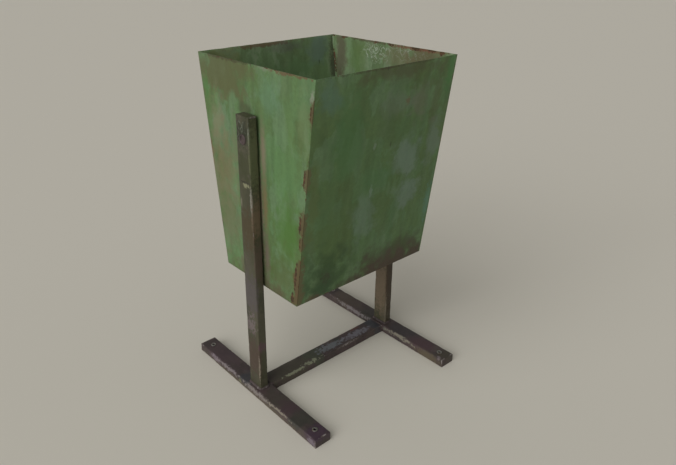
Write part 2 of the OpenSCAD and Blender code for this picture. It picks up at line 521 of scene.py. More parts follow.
            # Flakes come off a little more readily within 14 mm of an edge
            edge_share = add(tree, "MapRange", {0: edge, 1: 0.0, 2: 14.0, 3: 0.09, 4: 0.0})
            flakes = add(tree, "Math", {0: flakes, 1: edge_share}, operation="ADD")
            flakes = add(tree, "Math", {0: on.grit, 1: 0.18, 2: flakes}, operation="MULTIPLY_ADD")
            # Flakes start likewise, and have a crisp border
            start = 0.84 - 0.3 * self.bald
            flakes = add(tree, "MapRange", {0: flakes, 1: start, 2: start + 0.02, 3: 0.0, 4: 1.0})
            bare = add(tree, "Math", {0: bare, 1: flakes}, operation="MAXIMUM")
        return bare

    def _marks(
        self, on: Ground, colour: bpy.types.Node, bare: bpy.types.Node
    ) -> tuple[bpy.types.Node, bpy.types.Node]:
        """Adds the stains, worn patches and scars, and the patches of painted light and shade.

        Args:
            on: places and noises to draw from.
            colour: the paint's colour.
            bare: mask of missing paint.

        Returns:
            Nodes of the colour and the mask with the marks.
        """
        tree = on.tree
        axes = [on.xyz.outputs[axis] for axis in self.plane.value]
        face = add(tree, "CombineXYZ", dict(enumerate(axes)))
        corner = None
        if any(mark.corner for mark in self.marks):
            half = self.edges.half_depth(tree, axes[1]) if self.plane is Plane.YZ else self.edges.half_mouth
            inset = add(tree, "Math", {0: axes[0], 1: half}, operation="ADD")
            corner = add(tree, "CombineXYZ", {0: inset, 1: axes[1]})
        small = add(tree, "MapRange", {0: on.grit, 1: CALM, 2: STRONG, 3: 0.0, 4: 1.0})
        large = add(tree, "MapRange", {0: on.stain, 1: 0.25, 2: 0.75, 3: 0.0, 4: 1.0})
        # Contour lines of a noise look like the curls of a scraping edge
        curls = add(tree, "TexNoise", {"Vector": on.where, "Scale": 1 / CURL, "Detail": 1, "Distortion": 1.1})
        curls = add(tree, "Math", {0: curls, 1: 0.5}, operation="SUBTRACT")
        curls = add(tree, "Math", {0: curls}, operation="ABSOLUTE")
        curls = add(tree, "MapRange", {0: curls, 1: 0.032, 2: 0.012, 3: 0.0, 4: 1.0})
        for mark in self.marks:
            pad = (0.0,) * (3 - len(mark.at))
            local = add(tree, "Mapping", {
                "Vector": corner if mark.corner else face,
                "Location": tuple(-at / reach for at, reach in zip(mark.at, mark.reach)) + pad,
                "Scale": tuple(1 / reach for reach in mark.reach) + pad,
            })
            far = add(tree, "VectorMath", {0: local}, operation="LENGTH")
            # Narrow marks get a border of grit, wide ones a smoother one
            grain = small if min(mark.reach) < NARROW else large
            far = add(tree, "Math", {0: grain, 1: 2 * mark.ragged, 2: far}, operation="MULTIPLY_ADD")
            outer = 1 + mark.ragged
            share = add(tree, "MapRange", {
                0: far, 1: outer, 2: outer - mark.soft, 3: 0.0, 4: mark.strength,
            }, interpolation_type="SMOOTHSTEP")
            if mark.lines:
                share = add(tree, "Math", {0: share, 1: curls}, operation="MULTIPLY")
            if mark.bare:
                bare = add(tree, "Math", {0: bare, 1: share}, operation="MAXIMUM")
            else:
                colour = add(tree, "Mix", {0: share, 6: colour, 7: srgb(mark.colour)}, data_type="RGBA")
        return colour, bare

    def _speckle(self, on: Ground, colour: bpy.types.Node) -> bpy.types.Node:
        """Adds dark and pale specks, each up to 6 mm wide and three times as tall.

        Args:
            on: places and noises to draw from.
            colour: the paint's colour.

        Returns:
            Node of the colour with the specks.
        """
        tree = on.tree
        for spacing, size, tint, shift in SPECKS:
            moved = add(tree, "Mapping", {
                "Vector": on.where, "Location": (shift,) * 3, "Scale": (1, 1, 0.35),
            })
            cells = add(tree, "TexVoronoi", {"Vector": moved, "Scale": 1 / spacing})
            # Each cell's random colour gives its speck's size, which is nil for some half of them
            pick = add(tree, "SeparateColor", {0: cells.outputs["Color"]})
            radius = add(tree, "MapRange", {0: pick.outputs[0], 1: 0.55, 2: 1.0, 3: 0.0, 4: size / spacing})
            inside = add(tree, "Math", {0: radius, 1: cells.outputs["Distance"]}, operation="SUBTRACT")
            share = add(tree, "MapRange", {0: inside, 1: 0.0, 2: 0.03, 3: 0.0, 4: 0.6})
            colour = add(tree, "Mix", {0: share, 6: colour, 7: srgb(tint)}, data_type="RGBA")
        return colour

    def _relief(self, on: Ground, bare: bpy.types.Node) -> bpy.types.Node:
        """Adds the surface's relief: the paint's step, its grit and the pits.

        Args:
            on: places and noises to draw from.
            bare: mask of missing paint.

        Returns:
            Node of the normal.
        """
        tree = on.tree
        pits = add(tree, "TexNoise", {"Vector": on.where, "Scale": 1 / PIT, "Detail": 3})
        # A real paint step is about 0.15 mm; 0.35 mm is drawn so that it shows
        height = add(tree, "Math", {0: bare, 1: -0.35, 2: 0.0}, operation="MULTIPLY_ADD")
        height = add(tree, "Math", {0: on.grit, 1: 0.45, 2: height}, operation="MULTIPLY_ADD")
        height = add(tree, "Math", {0: pits, 1: 0.10, 2: height}, operation="MULTIPLY_ADD")
        return add(tree, "Bump", {"Height": height, "Distance": MM, "Strength": 0.7})


# Edges too far away for any edge wear
NO_EDGES = BoxEdges((0, 0, 500), (400, 400, 600))


@dataclass(frozen=True)
class SheetPaint:
    """Paint of one upright plate of the hopper, outside and inside.

    Outside it is brushed alkyd enamel, sun-faded and uneven in hue, with almost no
    gloss left. Inside it is the same, kept from the sun but dulled by dirt, and painted
    paler as painted light that offsets the shade inside the hopper.

    Attributes:
        plane: plane that the marks are placed in.
        seeds: shifts of the outer and the inner patterns in mm.
        outer: marks outside.
        inner: marks inside.
        wear: furthest that the inner edges' wear reaches in mm.
        worn: share of the inner edges that is worn, 0 to 1.
    """

    plane: Plane
    seeds: tuple[float, float]
    outer: tuple[Mark, ...]
    inner: tuple[Mark, ...]
    wear: float = 4.5
    worn: float = 0.3

    def build(self, name: str, edges: HopperEdges) -> list[bpy.types.Material]:
        """Builds both finishes.

        Args:
            name: name of the plate's side or end.
            edges: the hopper's edges.

        Returns:
            The outer and the inner material.
        """
        outside = PaintedSteel(
            f"faded_green_enamel_{name}", self.plane, edges, marks=self.outer, seed=self.seeds[0]
        )
        # Inside, the hues are painted paler as painted light against the shade in the hopper
        inside = PaintedSteel(
            f"dirty_green_enamel_{name}_inside", self.plane, edges, INSIDE, marks=self.inner,
            wear=self.wear, worn=self.worn, seed=self.seeds[1],
        )
        return [outside.build(), inside.build()]


@dataclass(frozen=True)
class DullMetal:
    """Bare or zinc-plated steel that has gone dull, with specks of rust.

    Attributes:
        name: the finish's name.
        clean: colour of the sound metal.
        rust: share of it that has rusted, 0 to 1.
        rough: roughness of the sound metal.
    """

    name: str
    clean: str
    rust: float
    rough: float

    def build(self) -> bpy.types.Material:
        """Builds the node material.

        Returns:
            The material.
        """
        material, tree = new_material(self.name)
        place = add(tree, "TexCoord").outputs["Object"]
        mm = add(tree, "VectorMath", {0: place, "Scale": 1 / MM}, operation="SCALE")
        # Pits as on the paint, and specks of rust some 9 mm across
        fine = add(tree, "TexNoise", {"Vector": mm, "Scale": 1 / PIT, "Detail": 5, "Roughness": 0.65})
        broad = add(tree, "TexNoise", {"Vector": mm, "Scale": 1 / 9, "Detail": 5, "Roughness": 0.65})
        start = 0.68 - 0.36 * self.rust
        rusty = add(tree, "MapRange", {0: broad, 1: start, 2: start + 0.1, 3: 0.0, 4: 1.0})
        shade = add(tree, "MapRange", {0: fine, 1: CALM, 2: STRONG, 3: 0.42, 4: 0.6})
        colour = add(tree, "Mix", {
            0: 0.8, 6: srgb(self.clean), 7: shade,
        }, data_type="RGBA", blend_type="OVERLAY")
        oxide = add(tree, "ValToRGB", {0: fine}, stops=RUST)
        colour = add(tree, "Mix", {0: rusty, 6: colour, 7: oxide}, data_type="RGBA")
        metal = add(tree, "MapRange", {0: rusty, 1: 0.0, 2: 1.0, 3: 1.0, 4: 0.0})
        rough = add(tree, "Mix", {0: rusty, 2: self.rough, 3: 0.85}, data_type="FLOAT")
        height = add(tree, "Math", {0: fine, 1: 0.2, 2: rusty}, operation="MULTIPLY_ADD")
        relief = add(tree, "Bump", {"Height": height, "Distance": 0.25 * MM, "Strength": 0.6})
        shader = add(tree, "BsdfPrincipled", {
            "Base Color": colour, "Roughness": rough, "Metallic": metal, "Normal": relief,
        })
        add(tree, "OutputMaterial", {"Surface": shader})
        return material


# ---------------------------------------------------------------- meshes


def piece(
    name: str,
    bm: bmesh.types.BMesh,
    slot: Slot,
    materials: list[bpy.types.Material],
    node: str,
) -> bpy.types.Object:
    """Turns a bmesh to a finished piece on its body.

    Args:
        name: the piece's name.
        bm: its mesh, in place and in metres; it is freed.
        slot: the record's material slot.
        materials: its materials, by face index.
        node: CAD node that it stands for.

    Returns:
        The piece's object.
    """
    mesh = bpy.data.meshes.new(name)
    bm.to_mesh(mesh)
    bm.free()
    obj = put(name, mesh)
    for material in materials:
        mesh.materials.append(material)
    mesh.shade_smooth()
    mesh.set_sharp_from_angle(angle=SHARP_ANGLE)
    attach(obj, slot.body.value)
    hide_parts(node)
    LOG.info("%s: %d faces on %s", name, len(mesh.polygons), slot.body.value)
    return obj


def drill(obj: bpy.types.Object, centres: Iterable[Vector], axis: Vector, radius: float) -> None:
    """Cuts round holes through a piece.

    Args:
        obj: the piece.
        centres: centre of each hole.
        axis: direction of the holes.
        radius: their radius in mm.
    """
    bm = bmesh.new()
    for centre in centres:
        bmesh.ops.create_cone(
            bm, cap_ends=True, segments=48, radius1=radius * MM, radius2=radius * MM, depth=CUTTER * MM,
            matrix=Matrix.Translation(centre) @ facing(axis),
        )
    cutter_mesh = bpy.data.meshes.new("cutter")
    bm.to_mesh(cutter_mesh)
    bm.free()
    cutter = put("cutter", cutter_mesh)
    cut = obj.modifiers.new("holes", "BOOLEAN")
    cut.operation, cut.object, cut.solver = "DIFFERENCE", cutter, "EXACT"
    ready = obj.evaluated_get(bpy.context.evaluated_depsgraph_get())
    drilled = bpy.data.meshes.new_from_object(ready)
    obj.modifiers.clear()
    old, obj.data = obj.data, drilled
    drilled.name = obj.name
    bpy.data.meshes.remove(old)
    bpy.data.objects.remove(cutter)
    bpy.data.meshes.remove(cutter_mesh)
    drilled.set_sharp_from_angle(angle=SHARP_ANGLE)


def sharp_edges(bm: bmesh.types.BMesh) -> list[bmesh.types.BMEdge]:
    """Lists the edges whose faces turn by more than 45 degrees."""
    return [e for e in bm.edges if len(e.link_faces) == 2 and e.calc_face_angle() > math.pi / 4]


def round_edges(bm: bmesh.types.BMesh, edges: list[bmesh.types.BMEdge], size: float, segments: int) -> None:
    """Bevels edges.

    Args:
        bm: mesh to bevel.
        edges: edges to round.
        size: width of the bevel in metres.
        segments: segments across it.
    """
    bmesh.ops.bevel(
        bm, geom=edges, offset=size, offset_type="OFFSET", segments=segments, profile=0.5,
        affect="EDGES", material=-1, clamp_overlap=True,
    )


def edges_along(bm: bmesh.types.BMesh, axis: int, length: float) -> list[bmesh.types.BMEdge]:
    """Lists the edges that run along an axis for more than half a length.

    Args:
        bm: the mesh.
        axis: the axis's number.
        length: the whole length.

    Returns:
        The edges.
    """
    return [e for e in bm.edges if abs((e.verts[0].co - e.verts[1].co)[axis]) > length / 2]


def box_mesh(low: Vector, high: Vector) -> bmesh.types.BMesh:
    """Starts a mesh as a box.

    Args:
        low: its lowest corner.
        high: its highest corner.

    Returns:
        The new mesh.
    """
    bm = bmesh.new()
    bmesh.ops.create_cube(bm, size=1.0)
    bmesh.ops.scale(bm, vec=high - low, verts=bm.verts)
    bmesh.ops.translate(bm, vec=(low + high) / 2, verts=bm.verts)
    return bm


def slice_along(bm: bmesh.types.BMesh, axis: int, low: float, high: float, count: int) -> None:
    """Cuts evenly spaced edge loops across a mesh.

    Args:
        bm: mesh to cut.
        axis: axis that the cuts are square to.
        low: where the stretch starts.
        high: where it ends.
        count: number of slices that the stretch is cut into.
    """
    normal = Vector([float(axis == i) for i in range(3)])
    for step in range(1, count):
        bmesh.ops.bisect_plane(
            bm, geom=bm.verts[:] + bm.edges[:] + bm.faces[:], dist=1e-7,
            plane_co=normal * (low + (high - low) * step / count), plane_no=normal,
        )


@dataclass
class TubeLength:
    """A length of rectangular tube with knocked, slightly uneven faces.

    Attributes:
        node: CAD node that it stands for.
        radius: outer corner radius in mm.
        wall: wall thickness in mm.
        knock: depth of the dings in the edges in mm.
        step: spacing of the loops along the tube in mm.
    """

    node: str
    radius: float = 2.0
    wall: float = 2.0
    knock: float = 0.7
    step: float = 7.0

    def build(self, material: bpy.types.Material) -> bpy.types.Object:
        """Builds the tube.

        Args:
            material: its paint.

        Returns:
            The piece's object.
        """
        low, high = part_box(self.node)
        size = high - low
        axis = max(range(3), key=lambda i: size[i])
        bm = box_mesh(low, high)
        ends = [f for f in bm.faces if abs(f.normal[axis]) > 0.5]
        bmesh.ops.delete(bm, geom=ends, context="FACES_ONLY")
        round_edges(bm, edges_along(bm, axis, size[axis]), self.radius * MM, 4)
        for cross in (i for i in range(3) if i != axis):
            inset = (self.radius + 2) * MM
            slice_along(bm, cross, low[cross] + inset, high[cross] - inset, 4)
        slice_along(bm, axis, low[axis], high[axis], round(size[axis] / (self.step * MM)))
        self._wear(bm, low, high, axis)
        # The wall grows inwards, against the normals, and leaves the outer skin where it is
        bmesh.ops.recalc_face_normals(bm, faces=bm.faces)
        bmesh.ops.solidify(bm, geom=bm.faces[:], thickness=self.wall * MM)
        return piece(f"{self.node}_tube", bm, Slot.FRAME, [material], self.node)

    def _wear(self, bm: bmesh.types.BMesh, low: Vector, high: Vector, axis: int) -> None:
        """Pushes the skin in a little, most at the tube's corners.

        Args:
            bm: the tube's outer skin.
            low: lowest corner of its box.
            high: highest corner.
            axis: axis that it runs along.
        """
        centre = (low + high) / 2
        for vert in bm.verts:
            inwards = centre - vert.co
            inwards[axis] = 0
            # The skin stays true within 12 mm of the ends, where plates and posts meet it
            near_end = min(vert.co[axis] - low[axis], high[axis] - vert.co[axis])
            fade = min(1.0, near_end / (12 * MM))
            gaps = [abs(inwards[i]) - (high[i] - low[i]) / 2 for i in range(3) if i != axis]
            at_corner = all(gap > -(self.radius + 1) * MM for gap in gaps)
            # Dings some 16 mm long, and waves some 45 mm long
            hit = max(0.0, noise.noise(vert.co / (16 * MM)) - 0.15) * self.knock * (2.2 if at_corner else 0.6)
            wave = 0.12 * (1 + noise.noise(vert.co / (45 * MM)))
            vert.co += inwards.normalized() * (hit + wave) * fade * MM


# Spacing of a hand weld's ripples in mm
RIPPLE = 2.6


@dataclass
class WeldBead:
    """A weld bead along a joint, rippled by the weaving of the rod.

    Attributes:
        name: the piece's name, empty for a bead that joins another's piece.
        path: the joint that it follows.
        length: length of the joint in mm.
        leg: leg of the bead in mm.
        turn: angle between the two legs in degrees.
        height: how tall the bead is across its middle, as a share of its leg.
        closed: whether the joint runs all the way round.
    """

    name: str
    path: Path
    length: float
    leg: float
    turn: float = 90.0
    height: float = 1.0
    closed: bool = False

    def add_to(self, bm: bmesh.types.BMesh) -> None:
        """Adds the bead to a mesh.

        Args:
            bm: mesh that takes it.
        """
        before = set(bm.verts)
        rings, sides = max(8, round(self.length / RIPPLE * 2)), 9
        bmesh.ops.create_grid(bm, x_segments=rings, y_segments=sides, size=0.5)
        new = [v for v in bm.verts if v not in before]
        for vert in new:
            share, across = vert.co.x + 0.5, vert.co.y + 0.5
            point, along_a, along_b = self.path(share % 1.0 if self.closed else share)
            # An open bead rounds off over the last 0.7 of its leg
            near_end = math.inf if self.closed else min(share, 1 - share) * self.length / self.leg
            taper = math.sqrt(min(1.0, near_end / 0.7))
            # Ripples make the leg vary by 8 %, and lumps some 7 mm long by up to 16 %
            ripple = 0.08 * math.cos(2 * math.pi * share * round(self.length / RIPPLE))
            lump = 0.16 * noise.noise(point / (7 * MM) + Vector((3, 1, 2)))
            reach = self.leg * MM * taper * (0.88 + ripple + lump)
            # The first and last places across the bead are its root, sunk into the joint
            if across < TOUCH or across > 1 - TOUCH:
                vert.co = point - (along_a + along_b) * 0.2 * MM * taper
                continue
            angle = math.radians(self.turn) * (across - 1 / sides) / (1 - 2 / sides)
            if self.turn > 90:
                span = math.cos(angle) * along_a + self.height * math.sin(angle) * along_b
            else:
                span = math.cos(angle) * along_a + math.sin(angle) * along_b
                span *= 0.86 + 0.14 * abs(math.cos(2 * angle))
            vert.co = point + span * reach
        bmesh.ops.remove_doubles(bm, verts=new, dist=TOUCH)

    def build(
        self, slot: Slot, material: bpy.types.Material, node: str, *more: WeldBead
    ) -> bpy.types.Object:
        """Builds the bead, with others of the same joint, as one piece.

        Args:
            slot: the record's material slot.
            material: its finish.
            node: CAD node that it stands for.
            more: further beads of the piece.

        Returns:
            The piece's object.
        """
        bm = bmesh.new()
        for bead in (self, *more):
            bead.add_to(bm)
        bmesh.ops.recalc_face_normals(bm, faces=bm.faces)
        return piece(self.name, bm, slot, [material], node)


def straight(start: Vector, stop: Vector, leg_a: Vector, leg_b: Vector) -> Path:
    """Gives the path of a straight joint.

    Args:
        start: where the joint starts.
        stop: where it ends.
        leg_a: direction of the bead's first leg.
        leg_b: direction of the second.

    Returns:
        The path.
    """
    return lambda share: (start.lerp(stop, share), leg_a, leg_b)


def round_rectangle(
    centre: Vector, half: tuple[float, float], axes: tuple[Vector, Vector], radius: float, rise: Vector
) -> tuple[Path, float]:
    """Gives the path of a joint round a rectangle with round corners.

    Args:
        centre: the rectangle's centre.
        half: its half-sizes along the two axes.
        axes: its two axes.
        radius: its corner radius.
        rise: direction of the bead's second leg.

    Returns:
        The path, whose first leg points outwards, and its length in metres.
    """
    flat = [half[0] - radius, half[1] - radius]
    arc = math.pi / 2 * radius
    runs = [2 * flat[1], arc, 2 * flat[0], arc] * 2
    total = sum(runs)

    def path(share: float) -> Joint:
        """Gives the point and legs at a share of the way round."""
        left, quarter = share * total, 0
        while left > runs[quarter % 8] and quarter < 7:
            left -= runs[quarter]
            quarter += 1
        side, on_arc = quarter // 2, quarter % 2
        start = math.pi / 2 * side
        angle = start + (left / radius if on_arc else 0.0)
        out = axes[0] * math.cos(angle) + axes[1] * math.sin(angle)
        if on_arc:
            signs = [(1, 1), (-1, 1), (-1, -1), (1, -1)][side]
            point = centre + axes[0] * flat[0] * signs[0] + axes[1] * flat[1] * signs[1] + out * radius
        else:
            ahead = axes[0] * -math.sin(start) + axes[1] * math.cos(start)
            reach, run = (half[0], flat[1]) if side % 2 == 0 else (half[1], flat[0])
            point = centre + out * reach + ahead * (left - run)
        return point, out, rise

    return path, total


# ---------------------------------------------------------------- hopper


# Widths and heights of the hopper's plates in mm
SIDE_SIZE, WALL_SIZE, BOTTOM_SIZE = (360, 450), (356, 450), (356, 236)


@dataclass
class Hopper:
    """The tipping hopper of welded sheet steel.

    Attributes:
        sheet: thickness of the sheet in mm.
        half_bottom: half the outer depth of the bottom in mm.
        wave: furthest that the sheet waves out of flat in mm.
        seam_leg: leg of the inner seams in mm.
        drain: radius of the drain holes in mm.
        grid: spacing of a plate's grid in mm.
        nick: deepest that the rim is worn down in mm.
        turn: corner radius of the joints that run round a plate, in mm.
    """

    sheet: float = 2.0
    half_bottom: float = 120.0
    wave: float = 0.9
    seam_leg: float = 3.0
    drain: float = 4.0
    grid: float = 6.0
    nick: float = 0.9
    turn: float = 1.5

    def __post_init__(self) -> None:
        """Reads the hopper's size from the frame."""
        low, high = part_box("left_side")
        self.half_mouth = -low.x
        self.low, self.high = low.z, high.z
        self.inner_x = self.half_mouth - self.sheet * MM
        self.slope = (self.half_mouth - self.half_bottom * MM) / (self.high - self.low)
        self.sheet_y = self.sheet * MM * math.hypot(1, self.slope)
        plate_low, plate_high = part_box("left_pivot_plate")
        self.pivot_z = (plate_low.z + plate_high.z) / 2
        self.plate_half = (plate_high.z - plate_low.z) / 2

    def half_depth(self, height: float) -> float:
        """Gives the outer half depth at a height."""
        return self.half_bottom * MM + (height - self.low) * self.slope

    def inner_depth(self, height: float) -> float:
        """Gives the inner half depth at a height."""
        return self.half_depth(height) - self.sheet_y

    def dent(self, point: Vector, edge: float) -> float:
        """Gives how far the sheet has been pushed in at a point.

        Args:
            point: place on the sheet.
            edge: distance to the nearest welded edge.

        Returns:
            Depth in metres, nil at the edges and round the pivots.
        """
        fade = min(1.0, edge / (45 * MM)) ** 1.5
        # The sheet is flat within 48 mm of the pivot, and waves fully 40 mm further on
        pivot = Vector((math.copysign(self.half_mouth, point.x), 0, self.pivot_z))
        fade *= min(1.0, max(0.0, (point - pivot).length / MM - 48) / 40)
        broad = noise.noise(point / (130 * MM)) + 0.35 * noise.noise(point / (48 * MM))
        return self.wave * MM * broad * fade

    def panel(
        self,
        node: str,
        place: Callable[[float, float], Vector],
        inwards: Vector,
        size: tuple[float, float],
        materials: list[bpy.types.Material],
        rim: bool = True,
    ) -> bpy.types.Object:
        """Builds one plate of the hopper as a fine, gently waved sheet.

        Args:
            node: CAD node that it stands for.
            place: gives the outer face's point at shares across and up.
            inwards: shift from the outer face to the inner one.
            size: width and height in mm, which set the grid.
            materials: outer and inner finish.
            rim: whether its upper edge is free.

        Returns:
            The piece's object.
        """
        bm = bmesh.new()
        columns, rows = (round(length / self.grid) for length in size)
        bmesh.ops.create_grid(bm, x_segments=columns, y_segments=rows, size=0.5)
        for vert in bm.verts:
            across, up = vert.co.x + 0.5, vert.co.y + 0.5
            point = place(across, up)
            free = 1.0 if rim else 1 - up
            edge = min(across * size[0], (1 - across) * size[0], up * size[1], free * size[1]) * MM
            push = self.dent(point, edge)
            if rim and up > 1 - TOUCH:
                # The rim lies a hair below its nominal height, with nicks some 17 mm long
                nicked = max(0.0, noise.noise(point / (17 * MM)) - 0.1)
                point.z -= 0.01 * MM + self.nick * MM * nicked
            vert.co = point + inwards.normalized() * push
        lid = bmesh.ops.extrude_face_region(bm, geom=bm.faces[:])
        moved = [v for v in lid["geom"] if isinstance(v, bmesh.types.BMVert)]
        bmesh.ops.translate(bm, vec=inwards, verts=moved)
        bmesh.ops.recalc_face_normals(bm, faces=bm.faces)
        round_edges(bm, sharp_edges(bm), 0.35 * MM, 2)
        bm.normal_update()
        for face in bm.faces:
            face.material_index = int(face.normal.dot(inwards.normalized()) > 0.5)
        return piece(f"{node}_sheet", bm, Slot.HOPPER, materials, node)

    def side(self, side: Side, materials: list[bpy.types.Material]) -> None:
        """Builds a side plate with its pivot bore.

        Args:
            side: which side.
            materials: outer and inner finish.
        """
        at = side.value * self.half_mouth

        def place(across: float, up: float) -> Vector:
            """Gives a point of the outer face."""
            height = self.low + up * (self.high - self.low)
            return Vector((at, (2 * across - 1) * self.half_depth(height), height))

        inwards = -side.value * self.sheet * MM * ALONG_X
        made = self.panel(f"{side.name.lower()}_side", place, inwards, SIDE_SIZE, materials)
        drill(made, [Vector((at, 0, self.pivot_z))], ALONG_X, PIN_BORE)

    def wall(self, end: End, materials: list[bpy.types.Material]) -> None:
        """Builds a leaning wall.

        Args:
            end: which end.
            materials: outer and inner finish.
        """

        def place(across: float, up: float) -> Vector:
            """Gives a point of the outer face."""
            height = self.low + up * (self.high - self.low)
            return Vector(((2 * across - 1) * self.inner_x, end.value * self.half_depth(height), height))

        inwards = -end.value * self.sheet_y * ALONG_Y
        self.panel(f"{end.name.lower()}_wall", place, inwards, WALL_SIZE, materials)

    def bottom(self, materials: list[bpy.types.Material]) -> None:
        """Builds the bottom plate with its drain holes.

        Args:
            materials: outer and inner finish.
        """
        half_y = self.inner_depth(self.low)

        def place(across: float, up: float) -> Vector:
            """Gives a point of the under face."""
            return Vector(((2 * across - 1) * self.inner_x, (2 * up - 1) * half_y, self.low))

        inwards = self.sheet * MM * UP
        made = self.panel("bottom", place, inwards, BOTTOM_SIZE, materials, rim=False)
        holes = [
            Vector((x * self.inner_x / 2, y * self.half_bottom * MM / 2, self.low))
            for x in (-1, 1) for y in (-1, 1)
        ]
        drill(made, holes, UP, self.drain)

    def pivot_plate(self, side: Side, material: bpy.types.Material, weld: bpy.types.Material) -> None:
        """Builds a reinforcing plate and the bead round it.

        Args:
            side: which side.
            material: the plate's finish.
            weld: the bead's finish.
        """
        name = side.name.lower()
        node = f"{name}_pivot_plate"
        bm = box_mesh(*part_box(node))
        round_edges(bm, bm.edges[:], 0.7 * MM, 3)
        plate = piece(f"{node}_steel", bm, Slot.HOPPER, [material], node)
        centre = Vector((side.value * self.inner_x, 0, self.pivot_z))
        drill(plate, [centre], ALONG_X, PIN_BORE)
        half = (self.plate_half, self.plate_half)
        path, length = round_rectangle(centre, half, (ALONG_Y, UP), self.turn * MM, -side.value * ALONG_X)
        bead = WeldBead(f"{name}_plate_bead", path, length / MM, self.seam_leg, closed=True)
        bead.build(Slot.HOPPER_WELD, weld, f"{name}_plate_weld")

    def seams(self, weld: bpy.types.Material) -> None:
        """Builds the inner beads up the corners and round the bottom.

        Args:
            weld: the beads' finish.
        """
        base = self.low + self.sheet * MM
        for side in Side:
            for end in End:
                # From just above the bottom's bead to just below the rim
                start, stop = (
                    Vector((side.value * self.inner_x, end.value * self.inner_depth(height), height))
                    for height in (base + 4 * MM, self.high - 3 * MM)
                )
                off_wall = Vector((0, -end.value, self.slope)).normalized()
                path = straight(start, stop, -side.value * ALONG_X, off_wall)
                name = f"{side.name.lower()}_{end.name.lower()}_seam"
                bead = WeldBead(f"{name}_bead", path, (stop - start).length / MM, self.seam_leg)
                bead.build(Slot.HOPPER_WELD, weld, name)
        half = (self.inner_x, self.inner_depth(base))
        path, length = round_rectangle(Vector((0, 0, base)), half, (ALONG_X, ALONG_Y), self.turn * MM, UP)

        def turned(share: float) -> Joint:
            """Gives the bottom's joint with its first leg towards the middle."""
            point, out, rise = path(share)
            return point, -out, rise

        bead = WeldBead("bottom_bead", turned, length / MM, self.seam_leg, closed=True)
        bead.build(Slot.HOPPER_WELD, weld, "bottom_weld")

    def build(self) -> None:
        """Builds the whole hopper and dresses it."""
        edges = HopperEdges(self.half_mouth / MM, self.half_bottom, self.low / MM, self.high / MM)
        for side in Side:
            self.side(side, SHEET_PAINT[side].build(side.name.lower(), edges))
        for end in End:
            self.wall(end, SHEET_PAINT[end].build(end.name.lower(), edges))
        # Brushed enamel out of the sun but in the wet, which keeps its hue and flakes off over rust
        under = PaintedSteel(
            "rusty_green_enamel_under", Plane.XY, edges, seed=930, marks=UNDER_MARKS, bald=0.5
        )
        # The floor takes the inside's hues, painted paler as painted light against the shade in the hopper
        floor = PaintedSteel(
            "rusty_green_enamel_floor", Plane.XY, edges, INSIDE, seed=960, marks=FLOOR_MARKS, bald=0.9
        )
        self.bottom([under.build(), floor.build()])
        # The hopper's inside enamel, paler as painted light, over weld beads, rusted through on most of their
        # crests
        bead = PaintedSteel("painted_seam_weld", Plane.YZ, NO_EDGES, INSIDE, bald=0.75, blotch=30).build()
        # The same over hot-rolled plate, rusted along its edges
        plate_edges = BoxEdges((0, 0, self.pivot_z / MM), (self.inner_x / MM, 30, 30))
        plate = PaintedSteel(
            "painted_pivot_plate", Plane.YZ, plate_edges, INSIDE, wear=4, worn=0.8, bald=0.4, blotch=30
        ).build()
        for side in Side:
            self.pivot_plate(side, plate, bead)
        self.seams(bead)


# Scars of the hopper's front left corner: height, half-length, reach on the side and on the front
CORNER_SCARS = (
    (664, 22, 7, 0),
    (541, 24, 11, 8),
    (452, 26, 12, 8),
    (408, 18, 8, 6),
    (335, 50, 14, 12),
    (284, 20, 20, 15),
)


def corner_scars(column: int, stain: str, scab: str) -> tuple[Mark, ...]:
    """Gives the front left corner's scars as marks of one of its faces.

    Args:
        column: 2 for the side's reach, 3 for the front's.
        stain: colour of the paint stained by rust along the corner.
        scab: colour of the rust-soaked paint in the scars.

    Returns:
        The marks: stains down the corner, and a scab for each scar.
    """
    scars = [(scar[0], 1.2 * scar[1], 1.3 * scar[column]) for scar in CORNER_SCARS if scar[column]]
    bands = [Mark((0, at), (20, 62), stain, 0.6, 0.9, 0.6, corner=True) for at in (300, 440)]
    scabs = [Mark((0, at), (wide, tall), scab, 0.85, 0.5, corner=True) for at, tall, wide in scars]
    return (*bands, *scabs)


def rust_chip(at: float, tall: float, wide: float) -> Mark:
    """Gives the strip of bare rust in a scar of the front left corner, on the side.

    Args:
        at: height of the scar in mm.
        tall: its half-length in mm.
        wide: its reach on the side in mm.

    Returns:
        The mark.
    """
    return Mark(
        (0.75 * wide, at), (0.3 * wide, 0.8 * tall),
        strength=1.0, soft=0.4, ragged=0.35, bare=True, corner=True,
    )


# Dirt that has settled low on the inner walls
DIRT = Mark((0, 330), (200, 90), "#453b2e", 0.70)
